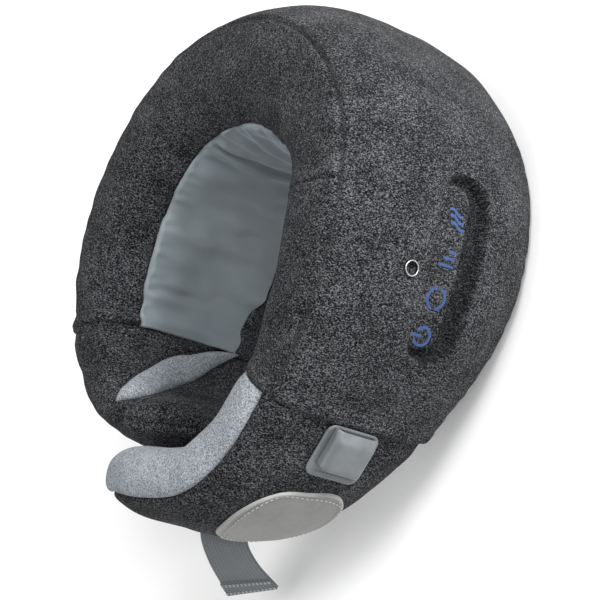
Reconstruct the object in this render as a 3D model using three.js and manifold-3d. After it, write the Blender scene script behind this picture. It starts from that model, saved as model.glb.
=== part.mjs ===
// Cordless shiatsu neck massager: a horseshoe cushion that wraps round the neck, with two kneading
// heads in its rear half, a key panel on its outer right side and two arms that meet in front.
// Millimetres. +Z is up along the neck, +Y is the nape, -Y is the throat, +X is the panel side.
// The origin is on the floor, under the middle of the nape, where the cushion rests.
import * as THREE from 'three';
import { mergeVertices } from 'three/addons/utils/BufferGeometryUtils.js';
import Module from 'manifold-3d';

const wasm = await Module();
wasm.setup();

// ---------------------------------------------------------------- driving dimensions
// The cushion is one swept section. Each station gives the centreline (x, y), half the section's
// radial thickness and the heights of its top and bottom. Station 0 is the nape, 3 the sleeve's hem.
const RING_STATIONS = [
  { x: 0, y: 0, half: 42, top: 131, bottom: -4 },
  { x: 65, y: -24.5, half: 38.5, top: 131.5, bottom: -4 },
  { x: 95.5, y: -86.5, half: 32, top: 132, bottom: -2 },
  { x: 85, y: -161, half: 25.5, top: 128.5, bottom: 18 },
];
// The right arm ends in front of the left one, whose tip tucks in behind it.
const RIGHT_ARM_STATIONS = [
  { x: 49.5, y: -216, half: 22, top: 131, bottom: 41.5 },
  { x: -30.5, y: -232, half: 19.2, top: 138, bottom: 64 },
];
const LEFT_ARM_STATIONS = [
  { x: -49, y: -195, half: 19, top: 121, bottom: 32 },
  { x: 3, y: -192, half: 14, top: 108, bottom: 46 },
];
const SECTION_POWER = 2.7;        // squareness of the section
const HEM = 3;                    // station of the sleeve's hem
const TIP = 5;                    // station of an arm's end
const TIP_ROUNDING = 0.55;        // stations over which an arm's end closes
const TIP_POWER = 2.4;
const STATION_LENGTH = 80;        // about one station along the centreline

const SLEEVE_WALL = 1.8;          // knitted cover
const GAP = 0.35;                 // clearance between neighbouring pieces
const FOAM_GAP = 1.6;             // and between a foam core and its cover
const RING_STEPS = 24;            // facets along the sleeve
const LINER_IN = 0.6;
const LINER_WALL = 1.2;
const LINER_EDGE_REAR = 137;      // section angle of the liner's seam at the nape, degrees
const LINER_EDGE_HEM = 152;       // and at the hem
const ARM_STEP = 1.5;             // the hem stands proud of the arm by this much
const ARM_ROOT = HEM + 0.03;      // station where an arm starts
const ARM_WALL = 1.5;

const HEAD_STATION = 0.8;         // where each kneading head sits, either side of the nape
const HEAD_Z = 65;                // height of its shaft
const NODE_OFFSET = 20;           // shaft to the middle of a massage node
const NODE_RADIUS = 10.5;
const SHAFT_RADIUS = 4;
const WORM_OFFSET = 24;           // between the worm's axis and the shaft
const WHEEL_TEETH = 24;
const WHEEL_TIP = 18.8;
const WHEEL_ROOT = 16.6;
const WORM_RADIUS = 3.9;          // middle of the thread's depth
const BAY_LOW = 13;               // heights of the hollow that holds the mechanism
const BAY_HIGH = 104;
const SWEEP_GAP = 1.5;            // clearance round the turning nodes

const PANEL_STATION = 1.955;      // middle of the key panel on the outer right wall
const PANEL_STEP = 92;            // millimetres of outer wall for one station there
const RECESS = { length: 98, height: 35, depth: 6.5, z: 59.5 };
const ISLAND = { length: 86, height: 21, z: 64 };
const KEY = { length: 15.5, height: 16, low: -10.4, high: -1.3, travel: 0.8, pitch: 19.7, first: -34 };
const JACK_STATION = 2.02;
const JACK_Z = 84.5;
const JACK_BORE = 3.45;

const STRAP_STATION = 4.64;
const STRAP_ANGLE = -62;          // section angle of the sewn root
const STRAP_TILT = 22;            // degrees that the root rises towards the arm's tip
const STRAP_TWIST = -22;          // degrees of twist from its root to its end
const STRAP_WIDTH = 30;
const STRAP_THICKNESS = 1.6;

// ---------------------------------------------------------------- colours
const DARK_KNIT = { color: 0x45474a, roughness: 0.95, metalness: 0 };
const LIGHT_KNIT = { color: 0xa0a4a8, roughness: 0.95, metalness: 0 };
const SATIN = { color: 0x59626a, roughness: 0.5, metalness: 0 };
const FOAM = { color: 0xd8d4c8, roughness: 0.9, metalness: 0 };
const BLACK_PLASTIC = { color: 0x1c1d1f, roughness: 0.6, metalness: 0 };
const GREY_PLASTIC = { color: 0x6a6d70, roughness: 0.5, metalness: 0 };
const WHITE_PLASTIC = { color: 0xe2e2dc, roughness: 0.4, metalness: 0 };
const STEEL = { color: 0xb9bcc0, roughness: 0.3, metalness: 1 };
const BRASS = { color: 0xb59a4a, roughness: 0.35, metalness: 1 };
const CIRCUIT = { color: 0x1d5a38, roughness: 0.5, metalness: 0 };
const CELL_WRAP = { color: 0x2f6fb0, roughness: 0.35, metalness: 0 };
const COATED = { color: 0x84878a, roughness: 0.35, metalness: 0 };
const LABEL = { color: 0x96958f, roughness: 0.5, metalness: 0 };
const WEBBING = { color: 0x5d6265, roughness: 0.8, metalness: 0 };

const model = new THREE.Group();

function add(name, geometry, finish, parent = model) {
  const mesh = new THREE.Mesh(geometry, new THREE.MeshStandardMaterial(finish));
  mesh.name = name;
  parent.add(mesh);
  return mesh;
}

// ---------------------------------------------------------------- solid helpers
function solid(geometry) {
  const bare = geometry.clone();
  bare.deleteAttribute('normal');
  bare.deleteAttribute('uv');
  const merged = mergeVertices(bare, 1e-4);
  return new wasm.Manifold(new wasm.Mesh({
    numProp: 3,
    vertProperties: new Float32Array(merged.attributes.position.array),
    triVerts: new Uint32Array(merged.index.array),
  }));
}

function geometryOf(body) {
  const mesh = body.getMesh();
  const geometry = new THREE.BufferGeometry();
  geometry.setAttribute('position', new THREE.BufferAttribute(mesh.vertProperties, 3));
  geometry.setIndex(new THREE.BufferAttribute(mesh.triVerts, 1));
  return geometry;
}

function cut(base, ...tools) {
  return geometryOf(tools.reduce((body, tool) => body.subtract(solid(tool)), solid(base)));
}

function join(...pieces) {
  return geometryOf(pieces.map(solid).reduce((a, b) => a.add(b)));
}

// A closed body from a grid of points: rows[i][j]. Rows are closed loops, and the two ends are
// closed with a fan round their middle.
function loft(rows) {
  const count = rows[0].length;
  const points = rows.flat().concat([middle(rows[0]), middle(rows[rows.length - 1])]);
  const firstCap = rows.length * count;
  const index = [];
  for (let i = 0; i + 1 < rows.length; i++) {
    for (let j = 0; j < count; j++) {
      const a = i * count + j;
      const b = i * count + (j + 1) % count;
      index.push(a, b, a + count, b, b + count, a + count);
    }
  }
  for (let j = 0; j < count; j++) {
    const k = (j + 1) % count;
    const last = (rows.length - 1) * count;
    index.push(firstCap, k, j, firstCap + 1, last + j, last + k);
  }
  return outward(fromPoints(points, index));
}

function middle(points) {
  const sum = points.reduce((total, point) => total.add(point), new THREE.Vector3());
  return sum.divideScalar(points.length);
}

function fromPoints(points, index) {
  const geometry = new THREE.BufferGeometry();
  geometry.setAttribute('position', new THREE.Float32BufferAttribute(points.flatMap((p) => [p.x, p.y, p.z]), 3));
  geometry.setIndex(index);
  return geometry;
}

// Turns every face over if the body's signed volume is negative.
function outward(geometry) {
  const p = geometry.attributes.position;
  const index = geometry.index.array;
  const corner = [new THREE.Vector3(), new THREE.Vector3(), new THREE.Vector3()];
  let volume = 0;
  for (let i = 0; i < index.length; i += 3) {
    corner.forEach((v, k) => v.fromBufferAttribute(p, index[i + k]));
    volume += corner[0].dot(corner[1].clone().cross(corner[2]));
  }
  if (volume < 0) {
    for (let i = 0; i < index.length; i += 3) {
      [index[i], index[i + 1]] = [index[i + 1], index[i]];
    }
  }
  return geometry;
}

// A thin curved plate: face(u, v, depth) gives a point, u and v run from 0 to 1, and depth is 0 on
// the outer face and 1 on the inner one.
function plate(face, uSteps, vSteps) {
  const rows = [];
  for (let i = 0; i <= uSteps; i++) {
    const row = [];
    for (let j = 0; j <= vSteps; j++) {
      row.push(face(i / uSteps, j / vSteps, 0));
    }
    for (let j = vSteps; j >= 0; j--) {
      row.push(face(i / uSteps, j / vSteps, 1));
    }
    rows.push(row);
  }
  return stripCapped(rows, vSteps + 1);
}

// A loft of thin loops whose ends are closed straight across the wall, from point to point.
function stripCapped(rows, across) {
  const count = rows[0].length;
  const index = [];
  for (let i = 0; i + 1 < rows.length; i++) {
    for (let j = 0; j < count; j++) {
      const a = i * count + j;
      const b = i * count + (j + 1) % count;
      index.push(a, b, a + count, b, b + count, a + count);
    }
  }
  const last = (rows.length - 1) * count;
  for (let j = 0; j + 1 < across; j++) {
    const k = count - 1 - j;
    index.push(j, k, j + 1, j + 1, k, k - 1);
    index.push(last + j, last + j + 1, last + k, last + j + 1, last + k - 1, last + k);
  }
  return outward(fromPoints(rows.flat(), index));
}

// ---------------------------------------------------------------- the cushion's surface
const mirrored = ({ x, y, half, top, bottom }) => ({ x: -x, y, half, top, bottom });
const STATIONS = [
  ...[...LEFT_ARM_STATIONS].reverse(),
  ...RING_STATIONS.slice(1).reverse().map(mirrored),
  ...RING_STATIONS,
  ...RIGHT_ARM_STATIONS,
].map(({ x, y, half, top, bottom }) => [x, y, half, top, bottom]);

// Catmull-Rom interpolation through the stations, which run from -TIP (left) to TIP (right).
function along(s) {
  const place = Math.min(Math.max(s + TIP, 0), 2 * TIP - 1e-9);
  const i = Math.floor(place);
  const f = place - i;
  const at = (k) => STATIONS[Math.min(Math.max(k, 0), 2 * TIP)];
  const before = i > 0 ? at(i - 1) : at(0).map((v, k) => 2 * v - at(1)[k]);
  const after = i + 2 <= 2 * TIP ? at(i + 2) : at(2 * TIP).map((v, k) => 2 * v - at(2 * TIP - 1)[k]);
  const value = [];
  const slope = [];
  for (let k = 0; k < 5; k++) {
    const [a, b, c, d] = [before[k], at(i)[k], at(i + 1)[k], after[k]];
    const square = 2 * a - 5 * b + 4 * c - d;
    const cube = 3 * b - a - 3 * c + d;
    value.push(0.5 * (2 * b + (c - a) * f + square * f * f + cube * f * f * f));
    slope.push(0.5 * (c - a + 2 * square * f + 3 * cube * f * f));
  }
  const [x, y, half, top, bottom] = value;
  const tangent = new THREE.Vector3(slope[0], slope[1], 0).normalize();
  const out = new THREE.Vector3(-tangent.y, tangent.x, 0);
  return { centre: new THREE.Vector3(x, y, 0), half, top, bottom, tangent, out };
}

// A point of the cushion's skin. angle is 0 on the outer wall, 90 on top and 180 on the neck side.
// inset moves it inwards. The bottom is flat where it rests.
function skin(s, angle, inset = 0) {
  const { centre, half, top, bottom, out } = along(s);
  const end = TIP - inset / STATION_LENGTH;
  const g = Math.min(Math.max((Math.abs(s) - (end - TIP_ROUNDING)) / TIP_ROUNDING, 0), 1);
  const shrink = Math.sqrt(Math.max(1 - g ** TIP_POWER, 0));
  const c = Math.cos(THREE.MathUtils.degToRad(angle));
  const d = Math.sin(THREE.MathUtils.degToRad(angle));
  const across = Math.sign(c) * Math.abs(c) ** (2 / SECTION_POWER);
  const rise = Math.sign(d) * Math.abs(d) ** (2 / SECTION_POWER);
  const height = (top - bottom) / 2;
  const point = centre.clone().addScaledVector(out, Math.max(half * shrink - inset, 0.3) * across);
  point.z = (top + bottom) / 2 + Math.max(height * shrink - inset, 0.3) * rise;
  point.z = Math.max(point.z, inset);
  return point;
}

// A point on the outer wall's plan curve at a height z, and out millimetres away from it.
function wall(s, z, out) {
  const at = along(s);
  const point = at.centre.clone().addScaledVector(at.out, at.half + out);
  point.z = z;
  return point;
}

const ringAngles = (count) => Array.from({ length: count }, (_, j) => 360 * j / count);
const between = (from, to, steps) => Array.from({ length: steps + 1 }, (_, i) => from + (to - from) * i / steps);

function sweep(from, to, inset, steps, count) {
  return loft(between(from, to, steps).map((s) => ringAngles(count).map((a) => skin(s, a, inset))));
}

// Stations towards a closed tip: even along the arm, then closer together where it rounds off.
function armStations(side, inset, root) {
  const end = TIP - inset / STATION_LENGTH;
  const round = end - TIP_ROUNDING;
  const straight = between(root, round, 9);
  const closing = [0.4, 0.7, 0.88, 0.97, 0.995].map((f) => round + TIP_ROUNDING * f);
  return [...straight, ...closing].map((s) => side * s);
}

function armSolid(side, inset, count) {
  const stations = armStations(side, inset, ARM_ROOT);
  return loft(stations.map((s) => ringAngles(count).map((a) => skin(s, a, inset))));
}

// A curved block on the outer right wall, under a rounded outline: length runs towards the rear,
// height runs up, and low and high are distances out from the wall.
function wallBlock({ length, height, z, at = 0 }, low, high, steps) {
  const rows = [];
  const radius = height / 2;
  for (let i = 0; i <= steps; i++) {
    const x = -Math.cos(Math.PI * i / steps) * length / 2;
    const past = Math.max(Math.abs(x) - (length / 2 - radius), 0);
    const rise = Math.max(Math.sqrt(Math.max(radius * radius - past * past, 0)), 0.3 * radius);
    const s = PANEL_STATION - (at + x) / PANEL_STEP;
    rows.push([wall(s, z - rise, low), wall(s, z + rise, low), wall(s, z + rise, high), wall(s, z - rise, high)]);
  }
  return loft(rows);
}

function grown(box, by) {
  return { ...box, length: box.length + 2 * by, height: box.height + 2 * by };
}

// A straight cylinder that goes into the outer right wall.
function wallCylinder(s, z, radius, low, high, sides) {
  const geometry = new THREE.CylinderGeometry(radius, radius, high - low, sides);
  geometry.translate(0, (high + low) / 2, 0);
  const at = along(s);
  const frame = new THREE.Matrix4().makeBasis(at.tangent, at.out, new THREE.Vector3(0, 0, 1));
  frame.setPosition(wall(s, z, 0));
  // tangent, out and up make a right-handed frame because the tangent turns clockwise round the ring
  return geometry.applyMatrix4(frame);
}

// A curved hollow inside the cushion, between two radial offsets from the centreline.
function bay(from, to, inner, outer, low, high, steps) {
  const rows = between(from, to, steps).map((s) => {
    const { centre, out } = along(s);
    const corner = (radial, z) => centre.clone().addScaledVector(out, radial).setZ(z);
    return [corner(inner, low), corner(outer, low), corner(outer, high), corner(inner, high)];
  });
  return loft(rows);
}

// ---------------------------------------------------------------- cushion, sleeve and liner
const BAY_REACH = 1.4;
const BAY_INNER = -60;
const BAY_OUTER = 22;
const mechanismBay = bay(-BAY_REACH, BAY_REACH, BAY_INNER, BAY_OUTER, BAY_LOW, BAY_HIGH, 12);
const recessCut = wallBlock(RECESS, -RECESS.depth, 8, 12);
const panelBay = wallBlock(grown(RECESS, 3), -18, 8, 12);
const jackHole = wallCylinder(JACK_STATION, JACK_Z, 5.4, -17, 4, 16);

// The nodes turn on the neck side of the bay, so the foam is cut round there too.
const nodeSweep = (side) => rod(NODE_OFFSET + NODE_RADIUS + SWEEP_GAP, -38, -17, 24).applyMatrix4(headFrame(side));

const core = sweep(-HEM, HEM, SLEEVE_WALL + FOAM_GAP, RING_STEPS, 20);
add('main_foam', cut(core, mechanismBay, nodeSweep(1), nodeSweep(-1), panelBay, jackHole), FOAM);

const linerEdge = (s) => LINER_EDGE_REAR + (LINER_EDGE_HEM - LINER_EDGE_REAR) * Math.abs(s) / HEM;

// The sleeve runs round the top, outer wall and bottom, from one liner seam to the other.
const sleeve = plate((u, v, depth) => {
  const s = -HEM + 2 * HEM * u;
  const edge = linerEdge(s);
  return skin(s, -edge + 2 * edge * v, depth * SLEEVE_WALL);
}, RING_STEPS, 20);
add('sleeve_cover', cut(sleeve, recessCut, jackHole), DARK_KNIT);

const liner = plate((u, v, depth) => {
  const s = (-HEM + 2 * HEM * u) * 0.995;
  const edge = linerEdge(s) + 1;
  return skin(s, edge + (360 - 2 * edge) * v, LINER_IN + depth * LINER_WALL);
}, RING_STEPS, 6);
add('neck_liner', liner, SATIN);

const HEATER_REACH = 1.25;
const HEATER_IN = 2.4;
const HEATER_WALL = 0.6;
const heater = plate((u, v, depth) => {
  const s = -HEATER_REACH + 2 * HEATER_REACH * u;
  return skin(s, 165 + 30 * v, HEATER_IN + depth * HEATER_WALL);
}, 16, 3);
add('heater_film', heater, BLACK_PLASTIC);

// ---------------------------------------------------------------- arms
const FOAM_IN = ARM_STEP + ARM_WALL + FOAM_GAP;
for (const [name, side] of [['right', 1], ['left', -1]]) {
  add(`${name}_arm_foam`, armSolid(side, FOAM_IN, 16), FOAM);
  // the cover is a sock, open at its root: outer rings to the tip, then inner rings back
  const outerRings = armStations(side, ARM_STEP, ARM_ROOT);
  const innerRings = armStations(side, ARM_STEP + ARM_WALL, ARM_ROOT);
  add(`${name}_arm_cover`, sock(outerRings, innerRings, 18), DARK_KNIT);
}

function sock(outer, inner, count) {
  const rings = [
    ...outer.map((s) => ringAngles(count).map((a) => skin(s, a, ARM_STEP))),
    ...[...inner].reverse().map((s) => ringAngles(count).map((a) => skin(s, a, ARM_STEP + ARM_WALL))),
  ];
  const points = rings.flat();
  const turn = outer.length;
  const index = [];
  const band = (i, k) => {
    for (let j = 0; j < count; j++) {
      const a = i * count + j;
      const b = i * count + (j + 1) % count;
      const c = k * count + j;
      const d = k * count + (j + 1) % count;
      index.push(a, b, c, b, d, c);
    }
  };
  for (let i = 0; i + 1 < rings.length; i++) {
    if (i + 1 !== turn) {
      band(i, i + 1);
    }
  }
  band(rings.length - 1, 0);
  const outerTip = points.push(middle(rings[turn - 1])) - 1;
  const innerTip = points.push(middle(rings[turn])) - 1;
  for (let j = 0; j < count; j++) {
    const k = (j + 1) % count;
    index.push((turn - 1) * count + j, (turn - 1) * count + k, outerTip);
    index.push(turn * count + k, turn * count + j, innerTip);
  }
  return outward(fromPoints(points, index));
}

// Light comfort strips sewn on the arms. Each follows two edges given as [station, angle] pairs.
const STRIP_OUT = 0;
const STRIP_WALL = 0.8;
function stripBetween(edgeA, edgeB, steps, across) {
  const pick = (edge, u) => {
    const place = Math.min(u * (edge.length - 1), edge.length - 1 - 1e-9);
    const i = Math.floor(place);
    return [0, 1].map((k) => THREE.MathUtils.lerp(edge[i][k], edge[i + 1][k], place - i));
  };
  return plate((u, v, depth) => {
    const [a, b] = [pick(edgeA, u), pick(edgeB, u)];
    const s = THREE.MathUtils.lerp(a[0], b[0], v);
    return skin(s, THREE.MathUtils.lerp(a[1], b[1], v), STRIP_OUT + depth * STRIP_WALL);
  }, steps, across);
}
const RIGHT_STRIP_OUTER = [[3.06, 72], [3.9, 66], [4.75, 66]];
const RIGHT_STRIP_INNER = [[3.06, 120], [3.9, 150], [4.75, 160]];
const LEFT_STRIP_REAR = [[-3.15, 205], [-3.3, 176], [-3.55, 155], [-3.85, 115]];
const LEFT_STRIP_FRONT = [[-3.25, 212], [-3.75, 181], [-4.1, 140], [-3.95, 108]];
add('right_comfort_strip', stripBetween(RIGHT_STRIP_OUTER, RIGHT_STRIP_INNER, 10, 7), LIGHT_KNIT);
add('left_comfort_strip', stripBetween(LEFT_STRIP_REAR, LEFT_STRIP_FRONT, 9, 4), LIGHT_KNIT);

// ---------------------------------------------------------------- trim on the right arm
const TRIM_IN = 1.15;             // trim lies just clear of the arm's cover
const label = plate((u, v, depth) => {
  const s = 3.5 + 0.8 * u;
  const upper = 10 + 40 * u - 56 * u * u;
  const lower = -38 - 17 * Math.min(2 * u, 1);
  return skin(s, THREE.MathUtils.lerp(upper, lower, v), TRIM_IN - (1 - depth) * 1.6);
}, 8, 7);
add('label_patch', label, LABEL);

const hookTape = plate((u, v, depth) => skin(4.84 + 0.07 * u, -85 + 45 * v, TRIM_IN - (1 - depth) * 1.4), 3, 4);
add('hook_tape', hookTape, BLACK_PLASTIC);

// The keeper is a flat base and an arch over it, open along the arm.
const KEEPER = { station: 3.18, z: 74, width: 27, length: 26, base: 1.4, rise: 6.2, wall: 1.4 };
function onArm(s, z, out) {
  const at = along(s);
  const place = new THREE.Group();
  place.position.copy(at.centre.clone().addScaledVector(at.out, at.half - ARM_STEP + out).setZ(z));
  place.rotation.z = Math.atan2(at.tangent.y, at.tangent.x);
  model.add(place);
  return place;
}
// local X runs along the arm, local Y out of it, local Z up
const keeperPlace = onArm(KEEPER.station, KEEPER.z, 1.1);
const keeperBase = new THREE.BoxGeometry(KEEPER.length, KEEPER.base, KEEPER.width);
keeperBase.translate(0, KEEPER.base / 2, 0);
add('keeper_base', keeperBase, COATED, keeperPlace);
function archShape(width, rise, thick) {
  const shape = new THREE.Shape();
  const w = width / 2;
  const r = 3.5;
  shape.moveTo(-w, 0);
  shape.lineTo(-w, rise + thick - r);
  shape.absarc(-w + r, rise + thick - r, r, Math.PI, Math.PI / 2, true);
  shape.absarc(w - r, rise + thick - r, r, Math.PI / 2, 0, true);
  shape.lineTo(w, 0);
  shape.lineTo(w - thick, 0);
  shape.lineTo(w - thick, rise - r + thick);
  shape.absarc(w - r, rise + thick - r, r - thick, 0, Math.PI / 2, false);
  shape.absarc(-w + r, rise + thick - r, r - thick, Math.PI / 2, Math.PI, false);
  shape.lineTo(-w + thick, 0);
  shape.closePath();
  return shape;
}
const keeperArch = new THREE.ExtrudeGeometry(archShape(KEEPER.width, KEEPER.rise, KEEPER.wall),
  { depth: KEEPER.length - 2, bevelEnabled: false, curveSegments: 3 });
keeperArch.translate(0, 0, -KEEPER.length / 2 + 1);
// the outline's X is the arm's up and its Y is out, so the extrusion runs along the arm
keeperArch.applyMatrix4(new THREE.Matrix4().makeBasis(
  new THREE.Vector3(0, 0, 1), new THREE.Vector3(0, 1, 0), new THREE.Vector3(-1, 0, 0)));
keeperArch.translate(0, KEEPER.base + GAP, 0);
add('keeper_band', keeperArch, COATED, keeperPlace);

// The webbing strap is sewn under the arm and swings out and down from there.
const strapAt = along(STRAP_STATION);
const strapPlace = new THREE.Group();
strapPlace.position.copy(skin(STRAP_STATION, STRAP_ANGLE, -2.2));
strapPlace.rotation.order = 'ZYX';
strapPlace.rotation.z = Math.atan2(strapAt.tangent.y, strapAt.tangent.x);
strapPlace.rotation.y = -THREE.MathUtils.degToRad(STRAP_TILT);
model.add(strapPlace);
// side view of the strap: local Y is out, local Z up, its root at the origin
const strapLine = new THREE.CatmullRomCurve3([
  new THREE.Vector3(0, 0, 0),
  new THREE.Vector3(0, 8.5, -5),
  new THREE.Vector3(0, 18.5, -20),
  new THREE.Vector3(0, 28.8, -43),
]);
function ribbon(curve, from, to, low, high, steps) {
  const rows = between(from, to, steps).map((t) => {
    const point = curve.getPointAt(t);
    const direction = curve.getTangentAt(t);
    const twist = THREE.MathUtils.degToRad(STRAP_TWIST) * t;
    const across = new THREE.Vector3(1, 0, 0).applyAxisAngle(direction, twist);
    const normal = new THREE.Vector3(0, -direction.z, direction.y).applyAxisAngle(direction, twist);
    const corner = (x, n) => point.clone().addScaledVector(normal, n).addScaledVector(across, x * STRAP_WIDTH / 2);
    return [corner(-1, low), corner(1, low), corner(1, high), corner(-1, high)];
  });
  return loft(rows);
}
add('webbing_strap', join(ribbon(strapLine, 0, 1, -STRAP_THICKNESS / 2, STRAP_THICKNESS / 2, 10),
  ribbon(strapLine, 0.8, 1, -STRAP_THICKNESS / 2, STRAP_THICKNESS * 1.4, 3)), WEBBING, strapPlace);

// ---------------------------------------------------------------- key panel
const keyHoles = [0, 1, 2, 3].map((i) => ({ ...KEY, z: ISLAND.z, at: KEY.first + i * KEY.pitch }));
const trayOutside = wallBlock(grown(RECESS, -0.6), -9.5, -3.2, 12);
const trayInside = wallBlock(grown(RECESS, -2.2), -7.6, 4, 12);
const trayBody = cut(trayOutside, trayInside);
const island = wallBlock(ISLAND, -9, -1.5, 12);
add('control_tray', cut(join(trayBody, island),
  ...keyHoles.map((hole) => wallBlock(grown(hole, 0.35), -14, 4, 6))), DARK_KNIT);
const KEY_NAMES = ['power_key', 'rotation_key', 'intensity_key', 'heat_key'];
KEY_NAMES.forEach((name, i) => add(name, wallBlock(keyHoles[i], KEY.low, KEY.high, 6), DARK_KNIT));
const keyBoard = wallBlock({ length: 84, height: 16, z: ISLAND.z }, -14.6, -13.2, 10);
const switchTop = KEY.low - KEY.travel - GAP;
const keySwitches = keyHoles.map((hole) => wallBlock({ ...hole, length: 6, height: 6 }, -13.8, switchTop, 4));
add('key_board', join(keyBoard, ...keySwitches), CIRCUIT);

const jackBody = cut(wallCylinder(JACK_STATION, JACK_Z, 4.8, -14, -1.6, 16),
  wallCylinder(JACK_STATION, JACK_Z, JACK_BORE, -12, 2, 16));
add('dc_jack', jackBody, BLACK_PLASTIC);
add('jack_ring', cut(wallCylinder(JACK_STATION, JACK_Z, 5, -1.2, 0.6, 24),
  wallCylinder(JACK_STATION, JACK_Z, JACK_BORE + 0.2, -3, 2, 16)), STEEL);

// ---------------------------------------------------------------- kneading heads
// Local Y points out of the cushion along the shaft, local X runs along the ring and Z is up.
function headFrame(side) {
  const at = along(side * HEAD_STATION);
  const frame = new THREE.Matrix4().makeRotationZ(Math.atan2(at.tangent.y, at.tangent.x));
  return frame.setPosition(at.centre.x, at.centre.y, HEAD_Z);
}

function headPlace(side) {
  const place = new THREE.Group();
  place.applyMatrix4(headFrame(side));
  model.add(place);
  return place;
}

function rod(radius, low, high, sides, x = 0, z = 0) {
  const geometry = new THREE.CylinderGeometry(radius, radius, high - low, sides);
  return geometry.translate(x, (low + high) / 2, z);
}

function upright(radius, low, high, sides, x) {
  const geometry = new THREE.CylinderGeometry(radius, radius, high - low, sides);
  geometry.rotateX(Math.PI / 2);
  return geometry.translate(x, 0, (low + high) / 2);
}

function gearShape(teeth, tip, root) {
  const shape = new THREE.Shape();
  for (let i = 0; i < teeth; i++) {
    const place = (part) => 2 * Math.PI * (i + part) / teeth;
    const corner = (radius, part) => [radius * Math.cos(place(part)), radius * Math.sin(place(part))];
    if (i === 0) {
      shape.moveTo(...corner(root, 0));
    } else {
      shape.lineTo(...corner(root, 0));
    }
    shape.lineTo(...corner(tip, 0.25));
    shape.lineTo(...corner(tip, 0.5));
    shape.lineTo(...corner(root, 0.75));
  }
  shape.closePath();
  return shape;
}

// A worm on its shaft: the radius follows a wave that climbs one pitch for each turn.
function wormGeometry(x, side) {
  const rows = [];
  const depth = 0.9;
  const sides = 8;
  const shaft = 1.5;
  const pitch = 2 * Math.PI * (WORM_OFFSET - WORM_RADIUS) / WHEEL_TEETH;
  const ring = (z, size) => Array.from({ length: sides }, (_, j) => {
    const turn = 2 * Math.PI * j / sides;
    const r = size(turn);
    return new THREE.Vector3(x + r * Math.cos(turn), r * Math.sin(turn), z);
  });
  rows.push(ring(-15.6, () => shaft), ring(-11.2, () => shaft));
  for (let z = -11; z <= 11; z += 1.375) {
    rows.push(ring(z, (turn) => WORM_RADIUS + depth * Math.cos(side * turn - 2 * Math.PI * z / pitch)));
  }
  rows.push(ring(11.2, () => shaft), ring(13, () => shaft));
  return loft(rows);
}

const SHELL_SIZE = 50;
function gearboxShell(low, high, floorAtLow, side) {
  const width = 58;
  const block = new THREE.BoxGeometry(width, high - low, SHELL_SIZE).translate(side * 5, (low + high) / 2, 0);
  const wallLow = floorAtLow ? low + 2 : low - 1;
  const wallHigh = floorAtLow ? high + 1 : high - 2;
  const hollow = new THREE.BoxGeometry(width - 4, wallHigh - wallLow, SHELL_SIZE - 4)
    .translate(side * 5, (wallLow + wallHigh) / 2, 0);
  const wormNotch = upright(2.3, -30, 0, 12, side * WORM_OFFSET);
  const tools = [hollow, wormNotch];
  if (floorAtLow) {
    tools.push(rod(6.4, low - 3, low + 5, 20));
  }
  return cut(block, ...tools);
}

const NODE_PROFILE = [[0, 0], [8, 0], [9.8, 2.5], [NODE_RADIUS, 5.5], [9.4, 8.6], [6.6, 11], [3.2, 12.2], [0, 12.5]];
function nodeDome(z) {
  const profile = NODE_PROFILE.map(([r, h]) => new THREE.Vector2(r, h));
  const geometry = new THREE.LatheGeometry(profile, 12);
  // the dome points at the neck, along local -Y
  geometry.rotateX(Math.PI);
  return geometry.translate(0, -22.6, z);
}

for (const [name, side] of [['right', 1], ['left', -1]]) {
  const place = headPlace(side);
  add(`${name}_gearbox_front`, gearboxShell(-9, -0.2, true, side), GREY_PLASTIC, place);
  add(`${name}_gearbox_rear`, gearboxShell(0.2, 9, false, side), GREY_PLASTIC, place);
  const gear = new THREE.ExtrudeGeometry(gearShape(WHEEL_TEETH, WHEEL_TIP, WHEEL_ROOT), { depth: 6, bevelEnabled: false });
  gear.rotateX(Math.PI / 2).translate(0, 3, 0);
  const wheel = cut(gear, rod(SHAFT_RADIUS + GAP, -6, 6, 16));
  add(`${name}_worm_wheel`, wheel, WHITE_PLASTIC, place);
  add(`${name}_worm`, wormGeometry(side * WORM_OFFSET, side), BRASS, place);
  const motor = join(upright(12, -51, -28, 20, side * WORM_OFFSET), upright(3.4, -29, -26.4, 12, side * WORM_OFFSET));
  add(`${name}_motor`, cut(motor, upright(2.1, -38, -20, 10, side * WORM_OFFSET)), STEEL, place);
  add(`${name}_output_shaft`, rod(SHAFT_RADIUS, -21.4, 6, 16), STEEL, place);
  add(`${name}_shaft_bush`, cut(rod(6, -10.5, -6, 20), rod(SHAFT_RADIUS + 0.1, -12, -4, 20)), BRASS, place);
  const bar = new THREE.BoxGeometry(20, 5, 2 * NODE_OFFSET + 10).translate(0, -19.5, 0);
  add(`${name}_rotor_arm`, cut(bar, rod(SHAFT_RADIUS + GAP, -24, -15, 16)), BLACK_PLASTIC, place);
  add(`${name}_upper_node`, nodeDome(NODE_OFFSET), BLACK_PLASTIC, place);
  add(`${name}_lower_node`, nodeDome(-NODE_OFFSET), BLACK_PLASTIC, place);
  const screw = join(rod(4.6, -24.6, -22.4, 12), rod(2, -23.4, -21.8, 8));
  add(`${name}_rotor_screw`, screw, STEEL, place);
}

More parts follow.
